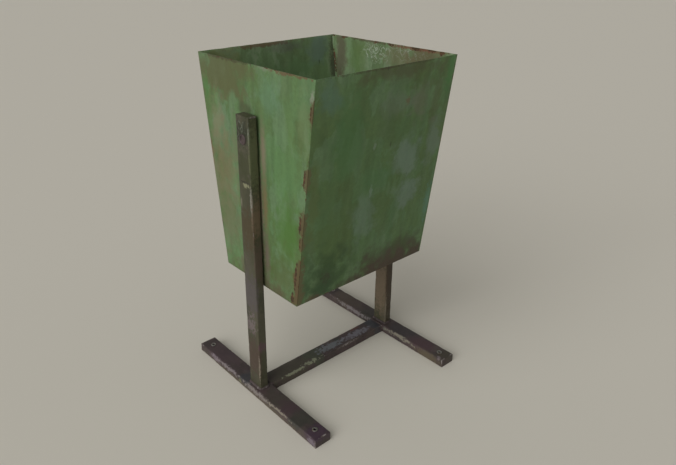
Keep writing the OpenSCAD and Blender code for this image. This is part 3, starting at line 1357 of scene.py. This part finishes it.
# Rust along the inner side of the rim
RIM_RUST = Mark((0, 718), (150, 5), "#6b3b30", 0.60)
LEFT_MARKS = (
    Mark((95, 694), (112, 66), "#5b5c3a", 0.80, 0.6),
    Mark((158, 655), (12, 36), "#4d7a40", 0.60),
    Mark((122, 590), (34, 80), "#827c62", 0.55, 0.9),
    Mark((64, 560), (16, 90), "#6e7458", 0.50),
    Mark((105, 490), (60, 120), "#756c4e", 0.70, 0.9),
    Mark((150, 470), (30, 130), "#6f7456", 0.55, 0.9),
    Mark((156, 512), (14, 44), "#7a5540", 0.60),
    Mark((95, 380), (64, 100), "#6b7050", 0.75, 0.9),
    Mark((140, 350), (12, 40), "#6a5a50", 0.50),
    Mark((-50, 668), (50, 50), "#628668", 0.45, 0.9),
    Mark((-110, 640), (18, 70), "#5d7a48", 0.50),
    Mark((-150, 640), (24, 80), "#6b7d55", 0.50),
    Mark((-96, 530), (70, 110), "#5c8854", 0.40, 0.9),
    Mark((-100, 415), (64, 100), "#486f2a", 0.75, 0.9),
    Mark((-80, 315), (90, 80), "#4f5b2a", 0.65, 0.9),
    # Brown halo beside the left post: rust stain with painted shade round the post in it, painted pale enough
    # to offset the gap's shadow
    Mark((-28, 560), (14, 90), "#857b66", 0.85, 0.9, 0.2),
    Mark((-28, 460), (14, 90), "#786b4c", 0.85, 0.9, 0.2),
    Mark((-28, 345), (15, 86), "#6f6156", 0.85, 0.9, 0.2),
    # Painted light: a pale strip just in front of the post that offsets the shadow in the gap between post
    # and side
    Mark((-16, 440), (9, 180), "#8a7f68", 0.80, 1.0, 0.4),
    # Painted shade: a dark smear round the top of the left post
    Mark((26, 634), (34, 16), "#45482f", 0.60, ragged=0.3),
    Mark((0, 268), (150, 44), "#5b4c3c", 0.65),
    Mark((-100, 719), (84, 5), "#6a4433", 0.65, ragged=0.9),
    Mark((-40, 718), (24, 6), "#7d8670", 0.60),
    Mark((80, 719), (110, 5), "#3d3523", 0.60),
    Mark((4, 690), (7, 16), "#8b9080", 0.70, corner=True),
    *corner_scars(2, "#515634", "#5a4a30"),
    *(rust_chip(*scar[:3]) for scar in CORNER_SCARS),
)
FRONT_MARKS = (
    # Painted shade: a dark film over the whole front, darker than the sides because of how light falls on it
    Mark((0, 470), (400, 420), "#2f5226", 0.27),
    Mark((30, 706), (150, 24), "#525136", 0.60),
    Mark((78, 528), (60, 50), "#72857b", 0.50),
    Mark((98, 445), (46, 46), "#70837a", 0.50),
    Mark((-26, 425), (44, 66), "#6a8071", 0.40),
    Mark((28, 645), (64, 36), "#667461", 0.45),
    Mark((90, 640), (30, 50), "#6b6c5c", 0.45),
    Mark((152, 548), (28, 85), "#74847a", 0.45),
    Mark((140, 630), (22, 60), "#525a36", 0.50),
    Mark((168, 690), (14, 60), "#487a42", 0.60),
    Mark((172, 400), (14, 66), "#5b877a", 0.45),
    Mark((-92, 600), (54, 100), "#44703c", 0.50),
    Mark((0, 500), (60, 40), "#44703f", 0.45),
    Mark((60, 400), (20, 60), "#45693f", 0.45),
    Mark((-112, 400), (54, 90), "#506936", 0.50),
    Mark((-160, 500), (16, 110), "#5c6a38", 0.50),
    Mark((-142, 680), (36, 36), "#59796a", 0.45),
    Mark((54, 649), (8, 10), "#6a4a38", 0.50),
    Mark((-20, 574), (5, 13), "#869a88", 0.40),
    Mark((-14, 478), (6, 16), "#83988a", 0.35),
    Mark((-118, 285), (40, 26), "#2c5437", 0.65),
    Mark((-110, 315), (96, 86), "#2f4b25", 0.80, 0.9),
    Mark((90, 296), (150, 50), "#3f4029", 0.65),
    Mark((90, 264), (210, 52), "#47392d", 0.90),
    Mark((-140, 272), (26, 14), "#5a3d30", 0.60),
    Mark((-110, 312), (14, 16), "#3a3226", 0.45, ragged=0.8),
    Mark((0, 719), (170, 4), "#453c28", 0.60),
    *corner_scars(3, "#5a623c", "#605a3c"),
)
RIGHT_MARKS = (
    Mark((-60, 665), (90, 60), "#5f6444", 0.60),
    Mark((110, 560), (40, 90), "#6f8276", 0.45),
    Mark((-110, 470), (40, 110), "#6a7e70", 0.40),
    # Brown halo on both sides of the right post: rust stain with painted shade round the post in it
    Mark((18, 480), (28, 150), "#6b5c48", 0.75, 0.9),
    Mark((-18, 480), (26, 150), "#6b6450", 0.60, 0.9),
    Mark((70, 390), (36, 60), "#4e7a42", 0.45),
    Mark((0, 268), (150, 44), "#5b4c3c", 0.65),
    Mark((90, 718), (80, 7), "#6f4535", 0.70),
    Mark((-150, 560), (10, 60), "#70452f", 0.60),
    Mark((-168, 660), (4, 24), soft=0.3, ragged=0.8, bare=True, strength=1.0),
)
BACK_MARKS = (
    Mark((-60, 700), (120, 26), "#525136", 0.55),
    Mark((90, 560), (60, 70), "#72857b", 0.45),
    Mark((-90, 470), (50, 90), "#6a8071", 0.45),
    Mark((20, 400), (60, 50), "#4a743f", 0.45),
    Mark((-150, 640), (20, 60), "#70452f", 0.40),
    Mark((0, 262), (210, 50), "#524638", 0.75),
    Mark((110, 718), (60, 6), "#6f4535", 0.70),
)
INNER_RIGHT_MARKS = (
    Mark((150, 690), (26, 90), "#605847", 0.75),
    Mark((40, 700), (60, 30), "#66734f", 0.50),
    Mark((30, 696), (52, 26), "#a3b09a", 0.90, 0.3, 0.4, lines=True),
    Mark((-62, 704), (52, 20), "#a6b2a0", 0.90, 0.3, 0.4, lines=True),
    Mark((95, 680), (34, 60), "#5f7a42", 0.50),
    Mark((-110, 700), (64, 44), "#6b6046", 0.75),
    Mark((-20, 690), (60, 34), "#746a4e", 0.55),
    Mark((-80, 718), (100, 6), "#743f2f", 0.75),
    Mark((60, 718), (90, 4), "#4a3b2c", 0.60),
    DIRT,
)
INNER_BACK_MARKS = (
    Mark((-20, 718), (110, 8), "#6b3b30", 0.60),
    Mark((-150, 700), (30, 20), "#4a4a2c", 0.60),
    Mark((-130, 690), (60, 50), "#7d8352", 0.60),
    Mark((128, 690), (44, 46), "#6d827c", 0.50),
    Mark((40, 706), (60, 16), "#62605a", 0.45),
    Mark((60, 640), (70, 60), "#64865a", 0.50),
    Mark((172, 640), (12, 120), "#40392f", 0.60),
    DIRT,
)
INNER_LEFT_MARKS = (
    Mark((40, 640), (80, 60), "#7b8a70", 0.40),
    Mark((-80, 520), (60, 80), "#5a4c38", 0.45),
    RIM_RUST,
    DIRT,
)
INNER_FRONT_MARKS = (
    Mark((-60, 620), (70, 60), "#7b8a70", 0.40),
    Mark((90, 500), (60, 90), "#5a4c38", 0.45),
    RIM_RUST,
    DIRT,
)
UNDER_MARKS = (Mark((0, 0), (150, 90), "#5d4736", 0.45), Mark((-90, 40), (60, 40), "#6a4630", 0.50))
FLOOR_MARKS = (Mark((0, 0), (220, 150), "#463628", 0.75), Mark((70, -30), (60, 50), "#6a4630", 0.60))


SHEET_PAINT = {
    Side.LEFT: SheetPaint(Plane.YZ, (31, 510), LEFT_MARKS, INNER_LEFT_MARKS),
    Side.RIGHT: SheetPaint(Plane.YZ, (163, 640), RIGHT_MARKS, INNER_RIGHT_MARKS, wear=9, worn=0.6),
    End.FRONT: SheetPaint(Plane.XZ, (247, 770), FRONT_MARKS, INNER_FRONT_MARKS),
    End.BACK: SheetPaint(Plane.XZ, (389, 890), BACK_MARKS, INNER_BACK_MARKS),
}


# ---------------------------------------------------------------- stand


@dataclass
class Stand:
    """The H-shaped stand of welded rectangular tube.

    Attributes:
        frame_leg: leg of the fillets between the tubes in mm.
        anchor_radius: radius of the anchor holes in mm.
        anchor_inset: distance of an anchor hole from the foot's end in mm.
        washer_radius: outer radius of the anchor washers in mm.
        radius: outer corner radius of the tube in mm.
    """

    frame_leg: float = 4.0
    anchor_radius: float = 3.3
    anchor_inset: float = 25.0
    washer_radius: float = 6.0
    radius: float = 2.0

    def __post_init__(self) -> None:
        """Reads the stand's places from the frame."""
        self.post_low, self.post_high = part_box("right_post")
        self.anchor_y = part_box("right_foot_back_plate")[1].y - self.anchor_inset * MM
        self.pivot_z = middle("right_pivot_pin").z

    def finish_for(self, node: str, seed: float) -> bpy.types.Material:
        """Builds the paint of one tube and its end plates.

        It is dark brushed enamel with a little gloss, flaked to grey primer along the
        corners, where knocks show as pale dashes.

        Args:
            node: CAD node of the tube.
            seed: shift of its patterns in mm.

        Returns:
            The material.
        """
        upright = "post" in node
        return PaintedSteel(
            f"flaked_dark_enamel_{node}",
            Plane.XYZ,
            BoxEdges.of(node),
            OLIVE if upright else DIRTY,
            PRIMER,
            STAND_MARKS[node],
            blotch=70,
            streak=0.2,
            wear=2.2,
            worn=0.35 if upright else 0.6,
            gloss=0.5,
            seed=seed,
        ).build()

    def tubes(self) -> None:
        """Builds the feet, posts and cross bar with their closed ends."""
        # Shift of each tube's patterns in mm
        seeds = {"left_foot": 12, "right_foot": 175, "cross_bar": 318, "left_post": 447, "right_post": 560}
        for node, seed in seeds.items():
            material = self.finish_for(node, seed)
            made = TubeLength(node, self.radius).build(material)
            centre = middle(node)
            if "foot" in node:
                holes = [Vector((centre.x, y, centre.z)) for y in (-self.anchor_y, self.anchor_y)]
                drill(made, holes, UP, self.anchor_radius)
            if "post" in node:
                drill(made, [Vector((centre.x, 0, self.pivot_z))], ALONG_X, PIN_BORE)
            for plate in PLATES[node]:
                self.end_plate(plate, material)

    def end_plate(self, node: str, material: bpy.types.Material) -> None:
        """Builds a welded end plate with the tube's round corners.

        Args:
            node: CAD node that it stands for.
            material: its paint.
        """
        low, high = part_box(node)
        size = high - low
        axis = min(range(3), key=lambda i: size[i])
        bm = box_mesh(low, high)
        round_edges(bm, edges_along(bm, axis, size[axis]), self.radius * MM, 4)
        outer = high[axis] if high[axis] > -low[axis] else low[axis]
        rim = [e for e in sharp_edges(bm) if all(abs(v.co[axis] - outer) < TOUCH for v in e.verts)]
        round_edges(bm, rim, 0.6 * MM, 3)
        piece(f"{node}_steel", bm, Slot.FRAME, [material], node)

    def welds(self, material: bpy.types.Material) -> None:
        """Builds the beads that join posts, feet and cross bar.

        Args:
            material: the beads' finish.
        """
        half = (self.post_high - self.post_low) / 2
        bar_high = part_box("cross_bar")[1]
        for side in Side:
            name, sign = side.name.lower(), side.value
            centre = Vector((sign * (self.post_low.x + half.x), 0, self.post_low.z))
            path, length = round_rectangle(
                centre, (half.x, half.y), (ALONG_X, ALONG_Y), self.radius * MM, UP
            )
            bead = WeldBead(f"{name}_post_bead", path, length / MM, self.frame_leg, closed=True)
            bead.build(Slot.WELD, material, f"{name}_post_weld")

            # One bead of 18 mm runs up each side of the bar's end, and a wide one lies over it
            # with its root 0.8 mm below the bar's top
            joint = Vector((sign * bar_high.x, 0, bar_high.z - 0.8 * MM))
            reach = bar_high.y * ALONG_Y
            inwards = -sign * ALONG_X
            over = straight(joint - reach, joint + reach, inwards, UP)
            top = WeldBead(
                f"{name}_bar_bead", over, 2 * bar_high.y / MM, 0.75 * self.frame_leg, turn=180, height=0.75
            )
            ends = []
            for y in (-1, 1):
                foot = Vector((joint.x, y * bar_high.y, 1.5 * MM))
                head = Vector((joint.x, y * bar_high.y, bar_high.z))
                down = straight(foot, head, inwards, y * ALONG_Y)
                ends.append(WeldBead("", down, 18, 0.65 * self.frame_leg))
            top.build(Slot.WELD, material, f"{name}_bar_weld", *ends)

    def anchor_washers(self, material: bpy.types.Material) -> None:
        """Builds the four anchor washers.

        Args:
            material: their finish.
        """
        low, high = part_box("anchor_washers")
        across = middle("right_foot").x
        bm = bmesh.new()
        for x in (-across, across):
            for y in (-self.anchor_y, self.anchor_y):
                base = Vector((x, y, low.z))
                washer(bm, base, UP, self.anchor_radius, self.washer_radius, (high.z - low.z) / MM)
        piece("anchor_washer_rings", bm, Slot.ZINC, [material], "anchor_washers")

    def build(self, weld: bpy.types.Material, zinc: bpy.types.Material) -> None:
        """Builds the stand.

        Args:
            weld: finish of the beads.
            zinc: finish of the washers.
        """
        self.tubes()
        self.welds(weld)
        self.anchor_washers(zinc)


# End plates and caps that close each tube
PLATES = {
    "left_foot": ("left_foot_front_plate", "left_foot_back_plate"),
    "right_foot": ("right_foot_front_plate", "right_foot_back_plate"),
    "cross_bar": (),
    "left_post": ("left_post_cap",),
    "right_post": ("right_post_cap",),
}
STAND_MARKS = {
    "left_foot": (
        Mark((-195, 130, 20), (60, 70, 30), "#47383c", 0.60),
        Mark((-195, 30, 20), (60, 40, 30), "#373b3f", 0.70),
        Mark((-195, -65, 20), (60, 50, 30), "#403c34", 0.60),
        Mark((-195, -105, 20), (40, 30, 30), "#47353b", 0.70),
        Mark((-195, -150, 20), (40, 32, 30), "#3a3c34", 0.70),
        Mark((-195, -200, 20), (40, 26, 30), "#443144", 0.70),
        Mark((-215, 0, 4), (6, 260, 8), "#5f5644", 0.60),
        Mark((-215, 150, 13), (3, 22, 8), "#81757d", 0.75, 0.5, 0.9),
        Mark((-215, 98, 15), (4, 46, 6), "#837a7c", 0.80, 0.4, 1.0),
        Mark((-215, 47, 10), (8, 8, 9), "#74735a", 0.70),
        Mark((-215, -14, 14), (5, 52, 7), "#857d79", 0.80, 0.4, 1.0),
        Mark((-215, -92, 16), (4, 42, 4), "#8a8274", 0.80, 0.4, 1.0),
        Mark((-215, -203, 9), (6, 14, 10), "#7b707a", 0.75, 0.4, 0.6),
    ),
    "right_foot": (
        Mark((195, 130, 20), (60, 70, 30), "#54493f", 0.75),
        Mark((195, 30, 20), (60, 40, 30), "#3d3c36", 0.70),
        Mark((195, -70, 20), (60, 50, 30), "#3a3537", 0.70),
        Mark((190, -140, 20), (30, 44, 30), "#4b353b", 0.70),
        Mark((200, -205, 20), (40, 26, 30), "#403c2e", 0.70),
        Mark((175, -170, 8), (8, 50, 20), "#605642", 0.70),
        Mark((175, 85, 13), (4, 66, 7), "#837d7e", 0.80, 0.4, 1.0),
        Mark((175, -30, 14), (7, 14, 6), "#7b7c70", 0.70),
        Mark((175, -80, 15), (4, 50, 6), "#888274", 0.80, 0.4, 1.0),
        Mark((178, -202, 18), (9, 7, 6), "#807478", 0.70, ragged=0.8),
    ),
    "cross_bar": (
        Mark((-110, 0, 20), (80, 60, 40), "#4c493b", 0.75),
        Mark((-35, 5, 20), (34, 60, 40), "#424a39", 0.70),
        Mark((16, 0, 20), (44, 14, 10), "#71767b", 0.80, 0.4, 0.9),
        Mark((46, 12, 20), (18, 9, 6), "#33372e", 0.80),
        Mark((100, -3, 20), (48, 12, 10), "#7a7881", 0.80, 0.4, 0.9),
        Mark((110, 15, 20), (22, 6, 6), "#5f3c35", 0.80),
        Mark((50, 19, 20), (90, 4, 6), "#573f38", 0.60),
        Mark((160, 0, 20), (24, 60, 40), "#3b4047", 0.70),
        Mark((-56, -15, 20), (26, 5, 4), "#8c8f78", 0.85, 0.3, 1.2),
        Mark((-112, -19, 19), (34, 3, 4), "#8c8f78", 0.80, 0.3, 1.2),
        Mark((60, -19, 19), (40, 4, 4), strength=1.0, soft=0.3, ragged=1.2, bare=True),
    ),
    "left_post": (
        Mark((-205, 0, 598), (6, 60, 36), "#2a2f20", 0.90),
        Mark((-205, 4, 598), (6, 17, 34), "#757b6c", 0.65, 0.6, lines=True),
        Mark((-205, -19, 596), (4, 3, 30), "#7d8376", 0.75, 0.5, 0.6),
        Mark((-205, 0, 535), (8, 60, 40), "#3a3e24", 0.85),
        Mark((-205, 0, 500), (6, 26, 3), "#24241a", 0.70),
        Mark((-205, -4, 494), (6, 14, 5), "#8a8a6c", 0.80, 0.4, 0.8),
        Mark((-205, -18, 462), (4, 5, 36), "#85837a", 0.85, 0.5, 0.6),
        Mark((-205, 15, 455), (5, 3, 14), "#80806c", 0.70),
        Mark((-205, -16, 415), (5, 4, 5), "#7c705c", 0.60),
        Mark((-205, -6, 400), (8, 60, 66), "#473c26", 0.80),
        # Painted light: the post's front face, painted paler to offset its shade
        Mark((-193, -20, 550), (30, 6, 90), "#5c6044", 0.85),
        Mark((-193, -20, 425), (30, 6, 60), "#6e5c4b", 0.85, 0.9),
        Mark((-193, -20, 330), (30, 6, 66), "#5a4a42", 0.85, 0.9),
        Mark((-205, 0, 255), (8, 60, 60), "#534c4e", 0.75),
        Mark((-205, 2, 178), (6, 16, 28), "#75686a", 0.75, 0.5, 0.9),
        Mark((-205, 0, 96), (8, 60, 70), "#483930", 0.90),
        Mark((-205, -18, 72), (4, 3, 34), "#7b7264", 0.80, 0.5, 0.6),
        Mark((-195, -20, 128), (30, 4, 16), "#5a3f48", 0.70),
    ),
    "right_post": (
        # Painted light: the inner face below the hopper, painted paler to offset the hopper's shadow
        Mark((185, 0, 255), (8, 60, 30), "#6c6a54", 0.60),
        Mark((185, 0, 130), (8, 60, 110), "#766653", 0.85),
        Mark((195, -20, 150), (30, 6, 170), "#3c2f22", 0.90),
        Mark((186, -19, 60), (4, 3, 50), "#7a7262", 0.60),
        Mark((205, 0, 560), (8, 60, 60), "#3d4128", 0.60),
        Mark((205, 16, 430), (4, 4, 60), "#85837a", 0.80, 0.4, 0.4),
        Mark((205, 0, 300), (8, 60, 90), "#4c3f31", 0.60),
    ),
}


# ---------------------------------------------------------------- pivots


def washer(
    bm: bmesh.types.BMesh, base: Vector, axis: Vector, inner: float, outer: float, thick: float
) -> None:
    """Spins a washer with softened edges.

    Args:
        bm: mesh that takes it.
        base: centre of its lower face.
        axis: its axis.
        inner: radius of its hole in mm.
        outer: its outer radius in mm.
        thick: its thickness in mm.
    """
    soft = 0.2
    outline = (
        (inner, soft), (inner + soft, 0), (outer - soft, 0), (outer, soft),
        (outer, thick - soft), (outer - soft, thick), (inner + soft, thick), (inner, thick - soft),
    )
    turn = Matrix.Translation(base) @ facing(axis)
    verts = [bm.verts.new(turn @ Vector((r * MM, 0, h * MM))) for r, h in outline]
    edges = [bm.edges.new((verts[i - 1], verts[i])) for i in range(len(verts))]
    before = set(bm.faces)
    bmesh.ops.spin(
        bm, geom=verts + edges, cent=base, axis=axis, angle=2 * math.pi, steps=56,
        use_merge=True, use_duplicate=False,
    )
    bmesh.ops.recalc_face_normals(bm, faces=[f for f in bm.faces if f not in before])


@dataclass
class Pivots:
    """Pins, washers and split pins that the hopper turns on.

    Attributes:
        ring: radius of the plug welds in mm.
        bead: leg of the plug welds in mm.
        washer_hole: radius of the washers' holes in mm.
        spacer: thickness of the spacer washers in mm.
        end: thickness of the end washers in mm.
        chamfer: how far the pins' inner ends are rounded in mm.
        hole: radius of the pin's cross hole in mm.
        wire: radius of the split pin's wire in mm.
        eye: radius of its eye in mm.
        leg: length of the bent part of its legs in mm.
        drop: how far below the pin's middle its legs bend, in mm.
        spread: angle that they are bent out in degrees.
    """

    ring: float = 8.2
    bead: float = 2.2
    washer_hole: float = 6.5
    spacer: float = 4.0
    end: float = 2.5
    chamfer: float = 1.0
    hole: float = 1.7
    wire: float = 0.75
    eye: float = 2.6
    leg: float = 7.2
    drop: float = 7.0
    spread: float = 32.0

    def __post_init__(self) -> None:
        """Reads the pivots' places from the frame."""
        self.axis_z = middle("right_pivot_pin").z
        self.split_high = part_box("split_pins")[1]
        # The wire bends 0.1 mm beyond the hole, so that it lies against its wall
        self.split_x = self.split_high.x - (self.hole - 0.1) * MM

    def pins(self, steel: bpy.types.Material, paint: bpy.types.Material) -> None:
        """Builds the turned pins, whose outer ends are painted over.

        Args:
            steel: their finish.
            paint: finish of the ends that show on the posts.
        """
        for side in Side:
            node = f"{side.name.lower()}_pivot_pin"
            low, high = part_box(node)
            centre = middle(node)
            radius, length = (high.z - low.z) / 2, high.x - low.x
            bm = bmesh.new()
            bmesh.ops.create_cone(
                bm, cap_ends=True, segments=64, radius1=radius, radius2=radius, depth=length,
                matrix=Matrix.Translation(centre) @ facing(side.value * ALONG_X),
            )
            inner = centre.x - side.value * length / 2
            inner_rim = [e for e in sharp_edges(bm) if abs(e.verts[0].co.x - inner) < TOUCH]
            round_edges(bm, inner_rim, self.chamfer * MM, 3)
            for face in bm.faces:
                face.material_index = int(face.normal.x * side.value > 0.9)
            name = f"{side.name.lower()}_pin_steel"
            made = piece(name, bm, Slot.PIVOT, [steel, paint], node)
            drill(made, [Vector((side.value * self.split_x, 0, centre.z))], UP, self.hole)

    def plug_welds(self, material: bpy.types.Material) -> None:
        """Builds the ring beads that hold the pins to the posts.

        Args:
            material: their finish.
        """
        radius = self.ring * MM
        for side in Side:
            name = side.name.lower()
            outwards = side.value * ALONG_X
            low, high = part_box(f"{name}_pivot_pin")
            centre = Vector((high.x if side is Side.RIGHT else low.x, 0, self.axis_z))

            def path(share: float, centre: Vector = centre, outwards: Vector = outwards) -> Joint:
                """Gives the ring's point and legs at a share of the way round."""
                angle = 2 * math.pi * share
                out = Vector((0, math.cos(angle), math.sin(angle)))
                return centre + out * radius, out, outwards

            around = 2 * math.pi * self.ring
            bead = WeldBead(f"{name}_pin_bead", path, around, self.bead, turn=180, height=0.85, closed=True)
            bead.build(Slot.WELD, material, f"{name}_pin_weld")

    def washers(self, zinc: bpy.types.Material) -> None:
        """Builds the spacer and end washers.

        Args:
            zinc: their finish.
        """
        for node, thick in {"spacer_washers": self.spacer, "end_washers": self.end}.items():
            low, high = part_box(node)
            outer = (high.z - low.z) / 2 / MM
            bm = bmesh.new()
            for sign in (-1, 1):
                base = Vector((sign * high.x, 0, self.axis_z))
                washer(bm, base, -sign * ALONG_X, self.washer_hole, outer, thick)
            piece(f"{node}_rings", bm, Slot.ZINC, [zinc], node)

    def split_pins(self, zinc: bpy.types.Material) -> None:
        """Bends the two split pins from wire.

        Args:
            zinc: their finish.
        """
        gap = self.wire * 1.02
        top = (self.split_high.z - self.axis_z) / MM - self.eye - self.wire
        tilt = math.radians(self.spread)
        out, down = math.sin(tilt) * self.leg, math.cos(tilt) * self.leg
        half = [
            Vector((0, gap + out, -self.drop - down)),
            Vector((0, gap + 0.5, -self.drop - 1.2)),
            Vector((0, gap, -self.drop + 0.6)),
            Vector((0, gap, 0)),
            Vector((0, gap, top - self.eye - 0.6)),
        ]
        loop = [
            Vector((0, math.sin(a) * self.eye, top - math.cos(a) * self.eye))
            for a in (math.radians(d) for d in range(30, 331, 20))
        ]
        route = half + loop + [Vector((0, -p.y, p.z)) for p in reversed(half)]
        bm = bmesh.new()
        for sign in (-1, 1):
            self._bend(bm, [Vector((sign * self.split_x, 0, self.axis_z)) + p * MM for p in route])
        bmesh.ops.recalc_face_normals(bm, faces=bm.faces)
        piece("split_pin_wires", bm, Slot.ZINC, [zinc], "split_pins")

    def _bend(self, bm: bmesh.types.BMesh, route: list[Vector]) -> None:
        """Sweeps the wire along a route in a plane square to X.

        Args:
            bm: mesh that takes the wire.
            route: its points.
        """
        sides = 12
        before = set(bm.verts)
        bmesh.ops.create_grid(bm, x_segments=len(route) + 1, y_segments=sides, size=0.5)
        new = [v for v in bm.verts if v not in before]
        for vert in new:
            step = round((vert.co.x + 0.5) * (len(route) + 1))
            angle = 2 * math.pi * (vert.co.y + 0.5)
            at = min(max(step - 1, 0), len(route) - 1)
            ahead = (route[min(at + 1, len(route) - 1)] - route[max(at - 1, 0)]).normalized()
            out = ALONG_X.cross(ahead)
            # The first and last rings shrink to a point and close the wire's ends
            radius = 0.0 if step in (0, len(route) + 1) else self.wire * MM
            vert.co = route[at] + (ALONG_X * math.cos(angle) + out * math.sin(angle)) * radius
        bmesh.ops.remove_doubles(bm, verts=new, dist=TOUCH)

    def build(self, steel: bpy.types.Material, weld: bpy.types.Material, zinc: bpy.types.Material) -> None:
        """Builds both pivots.

        Args:
            steel: finish of the pins.
            weld: finish of the beads, and of the pins' painted ends.
            zinc: finish of the washers and split pins.
        """
        self.pins(steel, weld)
        self.plug_welds(weld)
        self.washers(zinc)
        self.split_pins(zinc)


# ---------------------------------------------------------------- studio


def towards(azimuth: float, elevation: float) -> Vector:
    """Gives the unit vector from the bin towards a camera or a light.

    Args:
        azimuth: degrees round from the front, anticlockwise from above.
        elevation: degrees above the horizon.

    Returns:
        The vector.
    """
    a, e = math.radians(azimuth), math.radians(elevation)
    return Vector((math.sin(a) * math.cos(e), -math.cos(a) * math.cos(e), math.sin(e)))


@dataclass
class Studio:
    """Pale floor, soft light and the camera.

    Attributes:
        azimuth: direction of the view in degrees.
        elevation: height of the view above the horizon in degrees.
        distance: distance of the camera from its target in metres.
        target: point that it looks at in metres.
        lens: focal length on a 36 mm sensor.
        shift: lens shift, as shares of the picture's width.
    """

    azimuth: float = -41.03
    elevation: float = 23.99
    distance: float = 1.371
    target: tuple[float, float, float] = (-0.0013, 0.0083, 0.3721)
    lens: float = 33.35
    shift: tuple[float, float] = (0.0226, -0.0272)

    def camera(self) -> None:
        """Places the camera."""
        data = bpy.data.cameras.new("camera")
        data.lens, data.sensor_width = self.lens, 36
        data.shift_x, data.shift_y = self.shift
        camera = put("camera", data)
        back = towards(self.azimuth, self.elevation)
        camera.location = Vector(self.target) + back * self.distance
        camera.rotation_euler = (-back).to_track_quat("-Z", "Y").to_euler()
        bpy.context.scene.camera = camera

    def floor(self) -> None:
        """Lays the pale floor."""
        bm = bmesh.new()
        bmesh.ops.create_grid(bm, x_segments=1, y_segments=1, size=60)
        mesh = bpy.data.meshes.new("floor")
        bm.to_mesh(mesh)
        bm.free()
        floor = put("floor", mesh)
        # Pale matt paint with no sheen, so that it shows only soft shadows
        material, tree = new_material("pale_matt_floor")
        shader = add(tree, "BsdfPrincipled", {"Base Color": srgb("#ddd8cc"), "Roughness": 0.95, "IOR": 1.4})
        add(tree, "OutputMaterial", {"Surface": shader})
        mesh.materials.append(material)

    def light(self, name: str, azimuth: float, elevation: float, strength: float, spread: float) -> None:
        """Adds a broad distant light.

        Args:
            name: its name.
            azimuth: direction that it comes from in degrees, as for the camera.
            elevation: its height above the horizon in degrees.
            strength: its strength.
            spread: how wide it is in degrees.
        """
        data = bpy.data.lights.new(name, "SUN")
        data.energy, data.angle = strength, math.radians(spread)
        light = put(name, data)
        light.rotation_euler = (-towards(azimuth, elevation)).to_track_quat("-Z", "Y").to_euler()

    def build(self) -> None:
        """Builds the studio."""
        scene = bpy.context.scene
        scene.view_settings.view_transform = "Standard"
        world = bpy.data.worlds.new("studio")
        world.use_nodes = True
        world.node_tree.nodes.clear()
        sky = add(world.node_tree, "Background", {"Color": srgb("#ecebe6"), "Strength": 0.30})
        add(world.node_tree, "OutputWorld", {"Surface": sky})
        scene.world = world
        self.camera()
        self.floor()
        self.light("key_low", -78, 12, 1.25, 55)
        self.light("key_high", -78, 42, 1.10, 55)
        LOG.info("studio is ready")


def main() -> None:
    """Builds the bin's looks."""
    logging.basicConfig(level=logging.INFO, format="%(message)s")
    Studio().build()
    # Weld beads painted over with the frame, flaked to primer on their crests
    weld = PaintedSteel(
        "painted_frame_weld", Plane.YZ, NO_EDGES, DIRTY, PRIMER, bald=0.6, blotch=25
    ).build()
    # Zinc plating that has lost its sheen: pale, dull and specked with rust
    zinc = DullMetal("weathered_zinc", "#a3a29b", 0.35, 0.5).build()
    # Turned mild steel, greasy and half rusted: dark, with a broad soft gleam
    steel = DullMetal("dull_turned_steel", "#77726b", 0.5, 0.42).build()
    Hopper().build()
    Stand().build(weld, zinc)
    Pivots().build(steel, weld, zinc)


if __name__ == "__main__":
    main()
